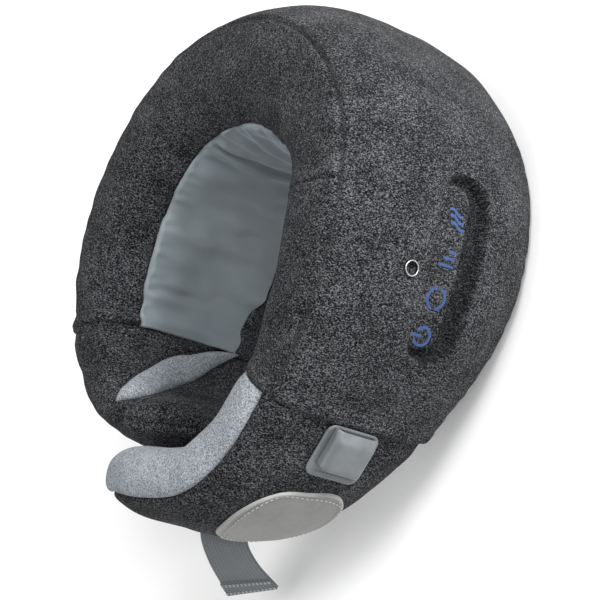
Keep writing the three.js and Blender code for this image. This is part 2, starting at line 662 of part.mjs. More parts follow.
// ---------------------------------------------------------------- frame, battery and board
add('chassis_plate', bay(-1.28, 1.28, 18, 20.5, 22, 100, 16), BLACK_PLASTIC);
const HOLDER_Y = 3;
const holder = new THREE.BoxGeometry(44, 22, 60).translate(0, HOLDER_Y, 62);
const cellWell = (x) => new THREE.CylinderGeometry(9.7, 9.7, 70, 20).rotateX(Math.PI / 2).translate(x, HOLDER_Y, 69);
add('battery_holder', cut(holder, cellWell(-10.3), cellWell(10.3)), BLACK_PLASTIC);
for (const [name, x] of [['right_battery_cell', 10.3], ['left_battery_cell', -10.3]]) {
  const cell = new THREE.CylinderGeometry(9.2, 9.2, 65, 20).rotateX(Math.PI / 2).translate(x, HOLDER_Y, 67.2);
  add(name, cell, CELL_WRAP);
}
const board = new THREE.BoxGeometry(40, 1.6, 56).translate(0, -12, 62);
const boardParts = [[-10, 76, 10], [8, 70, 14], [0, 48, 18]].map(([x, z, size]) =>
  new THREE.BoxGeometry(size, 3, size * 0.7).translate(x, -14, z));
add('main_board', join(board, ...boardParts), CIRCUIT);

export default model;
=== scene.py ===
import math

import bpy
import numpy as np
from mathutils import Matrix, Vector
from mathutils.geometry import delaunay_2d_cdt


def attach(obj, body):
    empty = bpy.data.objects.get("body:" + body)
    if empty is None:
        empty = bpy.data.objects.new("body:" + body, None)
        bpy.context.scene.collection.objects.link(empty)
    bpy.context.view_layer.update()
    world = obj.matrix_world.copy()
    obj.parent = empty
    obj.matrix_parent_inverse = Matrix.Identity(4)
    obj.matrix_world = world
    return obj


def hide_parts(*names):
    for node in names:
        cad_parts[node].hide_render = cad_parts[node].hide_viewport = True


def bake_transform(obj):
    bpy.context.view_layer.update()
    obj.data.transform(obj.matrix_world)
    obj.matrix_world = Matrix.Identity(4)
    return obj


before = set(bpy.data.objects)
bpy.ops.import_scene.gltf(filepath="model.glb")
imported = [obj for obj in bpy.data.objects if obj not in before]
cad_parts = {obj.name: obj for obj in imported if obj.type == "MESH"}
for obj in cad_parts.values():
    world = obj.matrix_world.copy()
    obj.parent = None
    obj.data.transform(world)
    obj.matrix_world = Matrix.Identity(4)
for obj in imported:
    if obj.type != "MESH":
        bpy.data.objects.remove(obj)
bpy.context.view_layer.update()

# A horseshoe neck massager: a knitted cushion with a satin neck liner, two soft arms, a key panel
# and its trim. Lengths are millimetres here and become metres when a mesh is made.
MM = 0.001

# ---------------------------------------------------------------- the cushion's surface
# Stations of the swept section, from the left arm's tip (-5) to the right arm's tip (5):
# centreline x and y, half thickness, top, bottom.
STATIONS = np.array([
    (3, -192, 14, 108, 46), (-49, -195, 19, 121, 32), (-85, -161, 25.5, 128.5, 18),
    (-95.5, -86.5, 32, 132, -2), (-65, -24.5, 38.5, 131.5, -4), (0, 0, 42, 131, -4),
    (65, -24.5, 38.5, 131.5, -4), (95.5, -86.5, 32, 132, -2), (85, -161, 25.5, 128.5, 18),
    (49.5, -216, 22, 131, 41.5), (-30.5, -232, 19.2, 138, 64)], float)
HEM = 3.0
TIP = 5.0
TIP_ROUNDING = 0.55
TIP_POWER = 2.4
SECTION_POWER = 2.7
STATION_LENGTH = 80
ARM_STEP = 1.5
SEAM_ANGLE = 64.5
LINER_EDGE_REAR = 137
LINER_EDGE_HEM = 152
PANEL_STATION = 1.955
PANEL_STEP = 92
RECESS = {"length": 98, "height": 35, "z": 59.5, "depth": 7.0}
ISLAND = {"length": 86, "height": 21, "z": 64, "top": -1.5}
KEY = {"length": 15.5, "height": 16, "pitch": 19.7, "first": -34}
JACK_STATION = 2.02
JACK_Z = 84.5


def along(s):
    """Centre, half thickness, top, bottom, tangent and outward direction at stations s."""
    s = np.asarray(s, float)
    place = np.clip(s + TIP, 0, 2 * TIP - 1e-9)
    i = place.astype(int)
    f = (place - i)[..., None]
    rows = np.vstack([2 * STATIONS[0] - STATIONS[1], STATIONS, 2 * STATIONS[-1] - STATIONS[-2]])
    a, b, c, d = rows[i], rows[i + 1], rows[i + 2], rows[i + 3]
    square = 2 * a - 5 * b + 4 * c - d
    cube = 3 * b - a - 3 * c + d
    value = 0.5 * (2 * b + (c - a) * f + square * f ** 2 + cube * f ** 3)
    slope = 0.5 * (c - a + 2 * square * f + 3 * cube * f ** 2)
    tangent = slope[..., :2] / np.linalg.norm(slope[..., :2], axis=-1, keepdims=True)
    out = np.stack([-tangent[..., 1], tangent[..., 0]], -1)
    return value[..., :2], value[..., 2], value[..., 3], value[..., 4], tangent, out


def skin(s, angle, inset=0.0):
    """Points of the cushion's skin. angle is 0 on the outer wall, 90 on top, 180 on the neck side."""
    s, angle = np.broadcast_arrays(np.asarray(s, float), np.asarray(angle, float))
    centre, half, top, bottom, _, out = along(s)
    end = TIP - inset / STATION_LENGTH
    g = np.clip((np.abs(s) - (end - TIP_ROUNDING)) / TIP_ROUNDING, 0, 1)
    shrink = np.sqrt(np.clip(1 - g ** TIP_POWER, 0, 1))
    c, d = np.cos(np.radians(angle)), np.sin(np.radians(angle))
    across = np.sign(c) * np.abs(c) ** (2 / SECTION_POWER)
    rise = np.sign(d) * np.abs(d) ** (2 / SECTION_POWER)
    plan = centre + out * (np.maximum(half * shrink - inset, 0.05) * across)[..., None]
    z = (top + bottom) / 2 + np.maximum((top - bottom) / 2 * shrink - inset, 0.05) * rise
    return np.concatenate([plan, np.maximum(z, inset)[..., None]], -1)


def wall(s, z, out):
    """Points beside the outer wall, out millimetres away from it at height z."""
    s, z, out = np.broadcast_arrays(np.asarray(s, float), z, out)
    centre, half, _, _, _, outward = along(s)
    plan = centre + outward * (half + out)[..., None]
    return np.concatenate([plan, z[..., None]], -1)


def panel_wall(x, z, out):
    """The same, with x along the wall from the middle of the key panel towards the rear."""
    return wall(PANEL_STATION - np.asarray(x, float) / PANEL_STEP, z, out)


def liner_edge(s):
    return LINER_EDGE_REAR + (LINER_EDGE_HEM - LINER_EDGE_REAR) * np.abs(s) / HEM


def angle_at(s, z):
    """Section angle of the outer wall's point at height z."""
    _, _, top, bottom, _, _ = along(s)
    share = np.clip((z - (top + bottom) / 2) / ((top - bottom) / 2), -1, 1)
    return np.degrees(np.arcsin(np.abs(share) ** (SECTION_POWER / 2))) * np.sign(share)


def smooth(x, low, high):
    t = np.clip((x - low) / (high - low), 0, 1)
    return t * t * (3 - 2 * t)


def bump(x, width):
    return np.exp(-(x / width) ** 2)


def round_over(x):
    """1 at a border, falling along a quarter circle to 0 where x reaches 1."""
    return 1 - np.sqrt(np.clip(1 - (1 - np.clip(x, 0, 1)) ** 2, 0, 1))


def wobble(x, y, seed, wave, waves=9):
    """Smooth noise, mostly within -1 to 1, whose ripples are about wave long."""
    draw = np.random.default_rng(seed)
    total = 0
    for _ in range(waves):
        turn, phase = draw.uniform(0, 2 * math.pi, 2)
        length = wave * draw.uniform(0.7, 1.5)
        total = total + np.sin((x * math.cos(turn) + y * math.sin(turn)) * 2 * math.pi / length + phase)
    return total / math.sqrt(waves)


def stadium(x, z, box):
    """Distance outside a rounded outline, negative inside it."""
    radius = box["height"] / 2
    past = np.maximum(np.abs(x) - (box["length"] / 2 - radius), 0)
    return np.hypot(past, z - box["z"]) - radius


# ---------------------------------------------------------------- mesh helpers
def new_piece(name, points, faces, material, uv=None, smooth_faces=True):
    """A mesh object from points in millimetres. uv holds one metric pair for each point."""
    mesh = bpy.data.meshes.new(name)
    points = np.asarray(points, float)
    mesh.from_pydata(points * MM, [], faces)
    if uv is not None:
        layer = mesh.uv_layers.new(name="weave")
        corner = np.zeros(len(mesh.loops), np.int32)
        mesh.loops.foreach_get("vertex_index", corner)
        layer.data.foreach_set("uv", (np.asarray(uv, float)[corner] * MM).ravel().astype(np.float32))
    mesh.materials.append(material)
    mesh.polygons.foreach_set("use_smooth", np.full(len(mesh.polygons), smooth_faces))
    mesh.update()
    piece = bpy.data.objects.new(name, mesh)
    bpy.context.scene.collection.objects.link(piece)
    if volume_of(mesh) < 0:
        mesh.flip_normals()
    return piece


def volume_of(mesh):
    mesh.calc_loop_triangles()
    corners = np.zeros(len(mesh.loop_triangles) * 3, np.int32)
    mesh.loop_triangles.foreach_get("vertices", corners)
    points = np.zeros(len(mesh.vertices) * 3)
    mesh.vertices.foreach_get("co", points)
    a, b, c = points.reshape(-1, 3)[corners].reshape(-1, 3, 3).transpose(1, 0, 2)
    return float((a * np.cross(b, c)).sum())


def grid_normals(points, inside, wrap=False):
    """Unit normals of a grid of points, turned away from the points inside it."""
    du = np.gradient(points, axis=0)
    if wrap:
        ring = np.concatenate([points[:, -1:], points, points[:, :1]], 1)
        dv = (ring[:, 2:] - ring[:, :-2]) / 2
    else:
        dv = np.gradient(points, axis=1)
    normal = np.cross(du, dv)
    normal /= np.maximum(np.linalg.norm(normal, axis=-1, keepdims=True), 1e-9)
    return normal * np.sign(((points - inside) * normal).sum(-1, keepdims=True) + 1e-12)


def core_line(s):
    """Points in the middle of the section."""
    centre, _, top, bottom, _, _ = along(s)
    return np.concatenate([centre, ((top + bottom) / 2)[..., None]], -1)


FINE = 6


def cloth_shell(outer, inner, kept=None, wrap=False):
    """Faces of a cloth wall: a fine outer grid, an inner grid FINE times coarser, and rims that join
    them. kept marks the coarse cells that are there. Returns the points and the faces."""
    rows, columns = outer.shape[:2]
    inner_rows, inner_columns = inner.shape[:2]
    first = rows * columns
    cells_v = inner_columns if wrap else inner_columns - 1
    if kept is None:
        kept = np.ones((inner_rows - 1, cells_v), bool)
    fine = lambda i, j: i * columns + j % columns
    coarse = lambda i, j: first + i * inner_columns + j % inner_columns
    i, j = np.meshgrid(np.arange(rows - 1), np.arange(cells_v * FINE), indexing="ij")
    on = kept[i // FINE, j // FINE]
    i, j = i[on], j[on]
    faces = np.stack([fine(i, j), fine(i + 1, j), fine(i + 1, j + 1), fine(i, j + 1)], -1).tolist()
    i, j = np.nonzero(kept)
    faces += np.stack([coarse(i, j), coarse(i, j + 1), coarse(i + 1, j + 1), coarse(i + 1, j)], -1).tolist()

    def rim(line, a, b):
        middle = FINE // 2
        faces.extend([line[k + 1], line[k], a] for k in range(middle))
        faces.append([line[middle], a, b])
        faces.extend([line[k + 1], line[k], b] for k in range(middle, FINE))

    def there(i, j):
        return 0 <= i < kept.shape[0] and (wrap or 0 <= j < cells_v) and kept[i, j % cells_v]

    for i, j in np.argwhere(kept):
        steps = range(FINE + 1)
        if not there(i - 1, j):
            rim([fine(i * FINE, (j + 1) * FINE - k) for k in steps], coarse(i, j + 1), coarse(i, j))
        if not there(i + 1, j):
            rim([fine((i + 1) * FINE, j * FINE + k) for k in steps], coarse(i + 1, j), coarse(i + 1, j + 1))
        if not there(i, j - 1):
            rim([fine(i * FINE + k, j * FINE) for k in steps], coarse(i, j), coarse(i + 1, j))
        if not there(i, j + 1):
            line = [fine((i + 1) * FINE - k, (j + 1) * FINE) for k in steps]
            rim(line, coarse(i + 1, j + 1), coarse(i, j + 1))
    return np.concatenate([outer.reshape(-1, 3), inner.reshape(-1, 3)]), faces


def both_walls(u, v):
    """The weave's coordinates on a cloth wall: its fine outer grid, then its inner one."""
    uv = np.stack([u, v], -1)
    return np.concatenate([uv.reshape(-1, 2), uv[::FINE, ::FINE].reshape(-1, 2)])


def two_sided(top, under):
    """A flat band from two grids of points: its points, its faces, and the faces of its top alone."""
    count = top.shape[0] * top.shape[1]
    index = np.arange(count).reshape(top.shape[:2])
    quads = np.stack([index[:-1, :-1], index[1:, :-1], index[1:, 1:], index[:-1, 1:]], -1).reshape(-1, 4)
    loop = [*index[0], *index[1:, -1], *index[-1, -2::-1], *index[-2:0:-1, 0]]
    faces = quads.tolist() + (quads[:, ::-1] + count).tolist()
    faces += [[int(a), int(b), int(b) + count, int(a) + count] for a, b in zip(loop, loop[1:] + loop[:1])]
    return np.concatenate([top.reshape(-1, 3), under.reshape(-1, 3)]), faces, quads


def plate_faces(triangles, count):
    """Closes a plate of count top points: its top, the same points below turned over, and its border."""
    faces = [list(t) for t in triangles] + [[a + count, c + count, b + count] for a, b, c in triangles]
    edges = dict.fromkeys((a, b) for t in triangles for a, b in zip(t, [*t[1:], t[0]]))
    return faces + [[b, a, a + count, b + count] for a, b in edges if (b, a) not in edges]


def drop_unused(points, faces, *layers):
    """The points that some face uses, the faces renumbered to them, and each layer's values there."""
    used = np.unique(np.concatenate([np.asarray(face) for face in faces]))
    renumber = np.full(len(points), -1)
    renumber[used] = np.arange(len(used))
    faces = [[int(renumber[v]) for v in face] for face in faces]
    return points[used], faces, *[layer[used] for layer in layers]


def lowest_near(field, reach=FINE):
    """The lowest value within reach grid steps of each point."""
    for axis in (0, 1):
        padded = np.pad(field, [(reach, reach) if a == axis else (0, 0) for a in (0, 1)], mode="edge")
        size = field.shape[axis]
        field = np.min([padded.take(range(k, k + size), axis=axis) for k in range(2 * reach + 1)], axis=0)
    return field


def knots(*spans):
    """Values through (start, cells) spans, FINE steps to a cell; the last item is the end value."""
    values = []
    for (start, cells), following in zip(spans[:-1], [*[s[0] for s in spans[1:-1]], spans[-1]]):
        values.append(np.linspace(start, following, cells * FINE, endpoint=False))
    return np.append(np.concatenate(values), spans[-1])


def equal_arc(s, edges, cells):
    """Section angles for each station: equal steps of arc between the key angles in edges."""
    samples = 241
    angles = []
    for index, station in enumerate(s):
        row = []
        for k, count in enumerate(cells):
            fine = np.linspace(edges[k][index], edges[k + 1][index], samples)
            points = skin(station, fine)
            arc = np.append(0, np.cumsum(np.linalg.norm(np.diff(points, axis=0), axis=1)))
            arc += np.linspace(0, 1e-3, samples)
            row.append(np.interp(np.linspace(0, arc[-1], count * FINE, endpoint=False), arc, fine))
        row.append([edges[-1][index]])
        angles.append(np.concatenate(row))
    return np.array(angles)


def arc_across(points):
    step = np.linalg.norm(np.diff(points, axis=1), axis=-1)
    return np.concatenate([np.zeros((len(points), 1)), np.cumsum(step, axis=1)], 1)


def arc_along(points):
    step = np.linalg.norm(np.diff(points, axis=0), axis=-1)
    return np.append(0, np.cumsum(step))


def line_at(table, angles, wanted):
    """Value of a table, row by row, at the angle wanted in that row."""
    return np.array([np.interp(w, a, row) for w, a, row in zip(wanted, angles, table)])


# ---------------------------------------------------------------- material helpers
# name of a point attribute on the sleeve that marks where shade is painted into the knit's colour
PAINTED_TROUGH_SHADE = "painted_trough_shade"


class Finish:
    """A material's node tree, with short calls for the nodes that it uses."""

    def __init__(self, name):
        self.material = bpy.data.materials.new(name)
        self.material.use_nodes = True
        self.nodes = self.material.node_tree.nodes
        self.links = self.material.node_tree.links
        self.shader = self.nodes["Principled BSDF"]

    def node(self, kind, **inputs):
        node = self.nodes.new(kind)
        for key, value in inputs.items():
            self.feed(node.inputs[key.replace("_", " ")], value)
        return node

    def feed(self, socket, value):
        if isinstance(value, bpy.types.NodeSocket):
            self.links.new(value, socket)
        else:
            socket.default_value = value

    def math(self, operation, a, b=0.0, c=0.0):
        node = self.nodes.new("ShaderNodeMath")
        node.operation = operation
        for socket, value in zip(node.inputs, (a, b, c)):
            self.feed(socket, value)
        return node.outputs[0]

    def noise(self, vector, scale, detail=2.0, roughness=0.5):
        node = self.node("ShaderNodeTexNoise", Vector=vector, Scale=scale, Detail=detail, Roughness=roughness)
        return node.outputs["Fac"]

    def stretched(self, vector, scale):
        node = self.node("ShaderNodeMapping", Vector=vector, Scale=scale)
        return node.outputs["Vector"]

    def ramp(self, value, *stops):
        node = self.node("ShaderNodeValToRGB", Fac=value)
        elements = node.color_ramp.elements
        while len(elements) < len(stops):
            elements.new(0.5)
        for element, (place, colour) in zip(elements, stops):
            element.position = place
            element.color = (*colour, 1)
        return node.outputs["Color"]

    def mix(self, share, a, b):
        node = self.nodes.new("ShaderNodeMix")
        node.data_type = "RGBA"
        self.feed(node.inputs["Factor"], share)
        self.feed(node.inputs["A"], a if isinstance(a, bpy.types.NodeSocket) else (*a, 1))
        self.feed(node.inputs["B"], b if isinstance(b, bpy.types.NodeSocket) else (*b, 1))
        return node.outputs["Result"]

    def raise_by(self, height, distance, strength=1.0, normal=None):
        node = self.node("ShaderNodeBump", Height=height, Distance=distance, Strength=strength)
        if normal is not None:
            self.links.new(normal, node.inputs["Normal"])
        return node.outputs["Normal"]

    def set(self, **inputs):
        for key, value in inputs.items():
            self.feed(self.shader.inputs[key.replace("_", " ")], value)
        return self.material

    @property
    def surface_uv(self):
        node = self.nodes.new("ShaderNodeUVMap")
        node.uv_map = "weave"
        return node.outputs["UV"]

    @property
    def place(self):
        return self.nodes.new("ShaderNodeTexCoord").outputs["Object"]


WALE = 1.0
COURSE = 0.72


def heather_knit(name, dark, middle, light):
    """Jersey knitted from mottled yarn: light and dark flecks over rows of small stitches, and painted shade."""
    f = Finish(name)
    uv = f.node("ShaderNodeSeparateXYZ", Vector=f.surface_uv)
    column = f.math("DIVIDE", uv.outputs["X"], WALE * MM)
    slant = f.math("ABSOLUTE", f.math("SUBTRACT", f.math("FRACT", column), 0.5))
    row = f.math("ADD", f.math("DIVIDE", uv.outputs["Y"], COURSE * MM), f.math("MULTIPLY", slant, 1.3))
    half_wale = f.math("MULTIPLY", column, 2.0)
    leg = f.node("ShaderNodeCombineXYZ", X=f.math("FLOOR", half_wale), Y=f.math("FLOOR", row))
    stitch = f.nodes.new("ShaderNodeTexWhiteNoise")
    stitch.noise_dimensions = "2D"
    f.links.new(leg.outputs[0], stitch.inputs["Vector"])
    fleck = f.noise(f.stretched(f.place, (1350, 1350, 1050)), 1.0, 3.0, 0.8)
    patch = f.noise(f.place, 60.0, 2.0)
    tone = f.math("ADD", f.math("MULTIPLY", stitch.outputs["Value"], 0.16), f.math("MULTIPLY", fleck, 1.0))
    tone = f.math("ADD", tone, f.math("MULTIPLY", f.math("SUBTRACT", patch, 0.5), 0.12))
    colour = f.ramp(tone, (0.46, dark), (0.58, middle), (0.76, light))
    # painted shade: the colour is mixed towards the dark yarn colour as far as the trough attribute asks,
    # standing in for the shadow in the key panel's recess
    painted_trough_shade = f.nodes.new("ShaderNodeAttribute")
    painted_trough_shade.attribute_name = PAINTED_TROUGH_SHADE
    colour = f.mix(painted_trough_shade.outputs["Fac"], colour, dark)
    loop = f.math("SINE", f.math("MULTIPLY", f.math("FRACT", row), math.pi))
    groove = f.math("SINE", f.math("MULTIPLY", f.math("FRACT", half_wale), math.pi))
    fuzz = f.noise(f.place, 1500.0, 2.0, 0.7)
    normal = f.raise_by(f.math("MULTIPLY", loop, groove), 0.00035, 0.5, f.raise_by(fuzz, 0.0004, 0.4))
    return f.set(Base_Color=colour, Roughness=0.95, Normal=normal, Sheen_Weight=0.03, Sheen_Roughness=0.5,
                 Specular_IOR_Level=0.05)


def satin_lining():
    f = Finish("satin_lining")
    warp = f.noise(f.stretched(f.surface_uv, (9000, 500, 1)), 1.0, 2.0)
    weft = f.noise(f.stretched(f.surface_uv, (700, 7000, 1)), 1.0, 1.0)
    cloud = f.noise(f.place, 22.0, 2.0)
    colour = f.ramp(cloud, (0.3, (0.15, 0.182, 0.197)), (0.7, (0.205, 0.238, 0.25)))
    colour = f.mix(f.math("MULTIPLY", warp, 0.25), colour, (0.2, 0.22, 0.235))
    rough = f.math("ADD", f.math("MULTIPLY", weft, 0.1), 0.42)
    normal = f.raise_by(f.math("ADD", warp, weft), 0.00012, 0.5)
    return f.set(Base_Color=colour, Roughness=rough, Normal=normal, Sheen_Weight=0.5, Sheen_Roughness=0.35,
                 Sheen_Tint=(0.8, 0.9, 1, 1), Anisotropic=0.4, Specular_IOR_Level=0.5)


def coated_fabric(name, low, high, rough):
    f = Finish(name)
    cells = f.node("ShaderNodeTexVoronoi", Vector=f.place, Scale=1700.0)
    cloud = f.noise(f.place, 70.0, 3.0)
    wear_and_painted_shade = f.math("POWER", f.noise(f.place, 260.0, 4.0, 0.7), 3.0)
    colour = f.mix(wear_and_painted_shade, f.ramp(cloud, (0.35, low), (0.7, high)), tuple(min(v * 1.5, 1) for v in high))
    roughness = f.math("ADD", f.math("MULTIPLY", cloud, 0.14), rough)
    normal = f.raise_by(cells.outputs["Distance"], 0.00012, 0.45)
    return f.set(Base_Color=colour, Roughness=roughness, Normal=normal, Specular_IOR_Level=0.5)


def ribbed_webbing():
    f = Finish("ribbed_webbing")
    uv = f.node("ShaderNodeSeparateXYZ", Vector=f.surface_uv)
    across = f.math("DIVIDE", uv.outputs["X"], 0.0011)
    lengthways = f.math("DIVIDE", uv.outputs["Y"], 0.0009)
    step = f.math("ADD", lengthways, f.math("MULTIPLY", f.math("FLOOR", across), 0.5))
    pick = f.math("SINE", f.math("MULTIPLY", f.math("FRACT", step), math.pi))
    rib = f.math("SINE", f.math("MULTIPLY", f.math("FRACT", across), math.pi))
    yarn = f.noise(f.stretched(f.surface_uv, (3000, 900, 1)), 1.0, 2.0)
    weave = f.math("MULTIPLY", pick, rib)
    colour = f.ramp(f.math("ADD", f.math("MULTIPLY", weave, 0.6), f.math("MULTIPLY", yarn, 0.4)),
                    (0.15, (0.055, 0.064, 0.07)), (0.75, (0.19, 0.21, 0.225)))
    normal = f.raise_by(weave, 0.0003, 0.8)
    return f.set(Base_Color=colour, Roughness=0.72, Normal=normal, Sheen_Weight=0.2, Specular_IOR_Level=0.35)


def thread(name, low, high):
    f = Finish(name)
    twist = f.nodes.new("ShaderNodeTexWave")
    twist.bands_direction = "DIAGONAL"
    f.feed(twist.inputs["Vector"], f.place)
    f.feed(twist.inputs["Scale"], 1600.0)
    f.feed(twist.inputs["Distortion"], 2.0)
    colour = f.ramp(twist.outputs["Fac"], (0.2, low), (0.8, high))
    return f.set(Base_Color=colour, Roughness=0.6, Normal=f.raise_by(twist.outputs["Fac"], 0.0001, 0.5))


def raised_print():
    f = Finish("blue_print")
    cloud = f.noise(f.place, 900.0, 3.0)
    colour = f.ramp(cloud, (0.3, (0.007, 0.03, 0.115)), (0.75, (0.016, 0.055, 0.19)))
    return f.set(Base_Color=colour, Roughness=0.5, Normal=f.raise_by(cloud, 0.00015, 0.5))


def moulded(name, colour, rough=0.5, grain=900.0, coat=0.0):
    f = Finish(name)
    cloud = f.noise(f.place, 60.0, 3.0)
    spark = f.noise(f.place, grain, 2.0)
    wear_and_painted_shade = f.math("POWER", f.noise(f.place, 180.0, 5.0, 0.75), 4.0)
    low, high = tuple(v * 0.85 for v in colour), tuple(min(v * 1.12, 1) for v in colour)
    base = f.ramp(cloud, (0.3, low), (0.7, high))
    base = f.mix(wear_and_painted_shade, base, tuple(min(v * 1.6 + 0.02, 1) for v in colour))
    roughness = f.math("ADD", f.math("MULTIPLY", cloud, 0.15), rough - 0.07)
    normal = f.raise_by(spark, 0.00012, 0.4)
    return f.set(Base_Color=base, Roughness=roughness, Normal=normal, Coat_Weight=coat)


def metal(name, colour, rough):
    f = Finish(name)
    lines = f.noise(f.stretched(f.place, (40, 40, 900)), 3.0, 4.0, 0.6)
    stain = f.noise(f.place, 90.0, 3.0)
    base = f.ramp(f.math("ADD", f.math("MULTIPLY", lines, 0.5), f.math("MULTIPLY", stain, 0.5)),
                  (0.3, tuple(v * 0.8 for v in colour)), (0.7, tuple(min(v * 1.15, 1) for v in colour)))
    roughness = f.math("ADD", f.math("MULTIPLY", lines, 0.2), rough - 0.1)
    return f.set(Base_Color=base, Roughness=roughness, Normal=f.raise_by(lines, 0.0001, 0.3), Metallic=1.0)


def open_foam():
    f = Finish("open_cell_foam")
    cells = f.node("ShaderNodeTexVoronoi", Vector=f.place, Scale=1100.0)
    cloud = f.noise(f.place, 30.0, 3.0)
    base = f.ramp(cloud, (0.3, (0.62, 0.57, 0.44)), (0.7, (0.74, 0.7, 0.58)))
    colour = f.mix(f.math("MULTIPLY", cells.outputs["Distance"], 0.5), base, (0.4, 0.36, 0.27))
    return f.set(Base_Color=colour, Roughness=0.95, Normal=f.raise_by(cells.outputs["Distance"], 0.0005, 0.7))


def circuit_board():
    f = Finish("solder_mask")
    tracks = f.node("ShaderNodeTexVoronoi", Vector=f.place, Scale=420.0)
    tracks.distance = "MANHATTAN"
    cloud = f.noise(f.place, 160.0, 2.0)
    colour = f.ramp(tracks.outputs["Distance"], (0.28, (0.02, 0.17, 0.075)), (0.5, (0.008, 0.085, 0.04)))
    colour = f.mix(f.math("MULTIPLY", cloud, 0.3), colour, (0.03, 0.2, 0.1))
    normal = f.raise_by(tracks.outputs["Distance"], 0.0001, 0.4)
    return f.set(Base_Color=colour, Roughness=0.35, Normal=normal)


def pale_floor():
    f = Finish("pale_floor")
    cloud = f.noise(f.place, 3.0, 2.0)
    colour = f.ramp(cloud, (0.3, (0.96, 0.96, 0.96)), (0.7, (0.98, 0.98, 0.98)))
    return f.set(Base_Color=colour, Roughness=0.85, Specular_IOR_Level=0.1)


DARK_KNIT = heather_knit(
    "dark_heather_knit", (0.0018, 0.002, 0.0024), (0.01, 0.0104, 0.012), (0.15, 0.154, 0.163))
LIGHT_KNIT = heather_knit(
    "light_heather_knit", (0.105, 0.12, 0.136), (0.235, 0.256, 0.282), (0.42, 0.44, 0.46))
SATIN = satin_lining()
COATED = coated_fabric("coated_trim", (0.085, 0.095, 0.1), (0.115, 0.125, 0.132), 0.26)
LABEL = coated_fabric("label_leather", (0.15, 0.15, 0.143), (0.18, 0.18, 0.172), 0.42)
LABEL_EDGE = coated_fabric("label_edge", (0.23, 0.235, 0.225), (0.28, 0.285, 0.275), 0.5)
WEBBING = ribbed_webbing()
PALE_THREAD = thread("pale_thread", (0.34, 0.36, 0.38), (0.55, 0.57, 0.59))
GREY_THREAD = thread("grey_thread", (0.36, 0.35, 0.32), (0.5, 0.49, 0.45))
DARK_THREAD = thread("dark_thread", (0.012, 0.013, 0.015), (0.05, 0.052, 0.056))
TRIM_THREAD = thread("trim_thread", (0.05, 0.055, 0.06), (0.13, 0.14, 0.15))
BLUE = raised_print()
FOAM = open_foam()
STEEL = metal("turned_steel", (0.5, 0.51, 0.53), 0.3)
CHROME = metal("plated_ring", (0.45, 0.45, 0.46), 0.22)
BRASS = metal("turned_brass", (0.5, 0.36, 0.12), 0.3)
BLACK_PLASTIC = moulded("black_plastic", (0.02, 0.02, 0.022), 0.5)
HOOK_NYLON = moulded("hook_nylon", (0.012, 0.012, 0.013), 0.4)
GREY_PLASTIC = moulded("grey_nylon", (0.15, 0.155, 0.16), 0.5)
WHITE_PLASTIC = moulded("acetal", (0.75, 0.75, 0.7), 0.4)
CIRCUIT = circuit_board()
CELL_WRAP = moulded("shrink_wrap", (0.04, 0.16, 0.42), 0.3, 200.0, 0.3)
HEATER = moulded("heater_film", (0.03, 0.028, 0.026), 0.35, 300.0)


# ---------------------------------------------------------------- camera
# The view looks at the panel side from above, and the camera is rolled so that the nape is up.
AIM = Vector((0, -0.1, 0.066))
CAMERA_ELEVATION = math.radians(34.59)
CAMERA_AZIMUTH = math.radians(-1.84)
CAMERA_ROLL = math.radians(-71.65)
CAMERA_DISTANCE = 1.50523
CAMERA_LENS = 169.8
CAMERA_SHIFT = (0.0173, -0.0485)


def make_camera():
    cos_e, sin_e = math.cos(CAMERA_ELEVATION), math.sin(CAMERA_ELEVATION)
    back = Vector((cos_e * math.cos(CAMERA_AZIMUTH), cos_e * math.sin(CAMERA_AZIMUTH), sin_e))
    level = (-back).cross(Vector((0, 0, 1))).normalized()
    upright = level.cross(-back)
    right = math.cos(CAMERA_ROLL) * level + math.sin(CAMERA_ROLL) * upright
    up = -math.sin(CAMERA_ROLL) * level + math.cos(CAMERA_ROLL) * upright
    data = bpy.data.cameras.new("camera")
    data.lens = CAMERA_LENS
    data.shift_x, data.shift_y = CAMERA_SHIFT
    data.clip_end = 20
    camera = bpy.data.objects.new("camera", data)
    bpy.context.scene.collection.objects.link(camera)
    turn = Matrix((right, up, back)).transposed()
    camera.matrix_world = Matrix.Translation(AIM + back * CAMERA_DISTANCE) @ turn.to_4x4()
    bpy.context.scene.camera = camera


make_camera()


# ---------------------------------------------------------------- knitted sleeve
SLEEVE_WALL = 1.2
HOLE_LOW = 54.6
HOLE_HIGH = 73.4
HOLE_REACH = 42.6 / PANEL_STEP
HEM_STEP = 76
HEM_STITCHES_IN = 9.5


def inner_swell(s, angle):
    """The right side bulges into the neck opening, along its upper inner edge."""
    return 4.5 * bump(s - 2.0, 0.75) * smooth(angle, 84, 128) * (1 - smooth(angle, 165, 215))


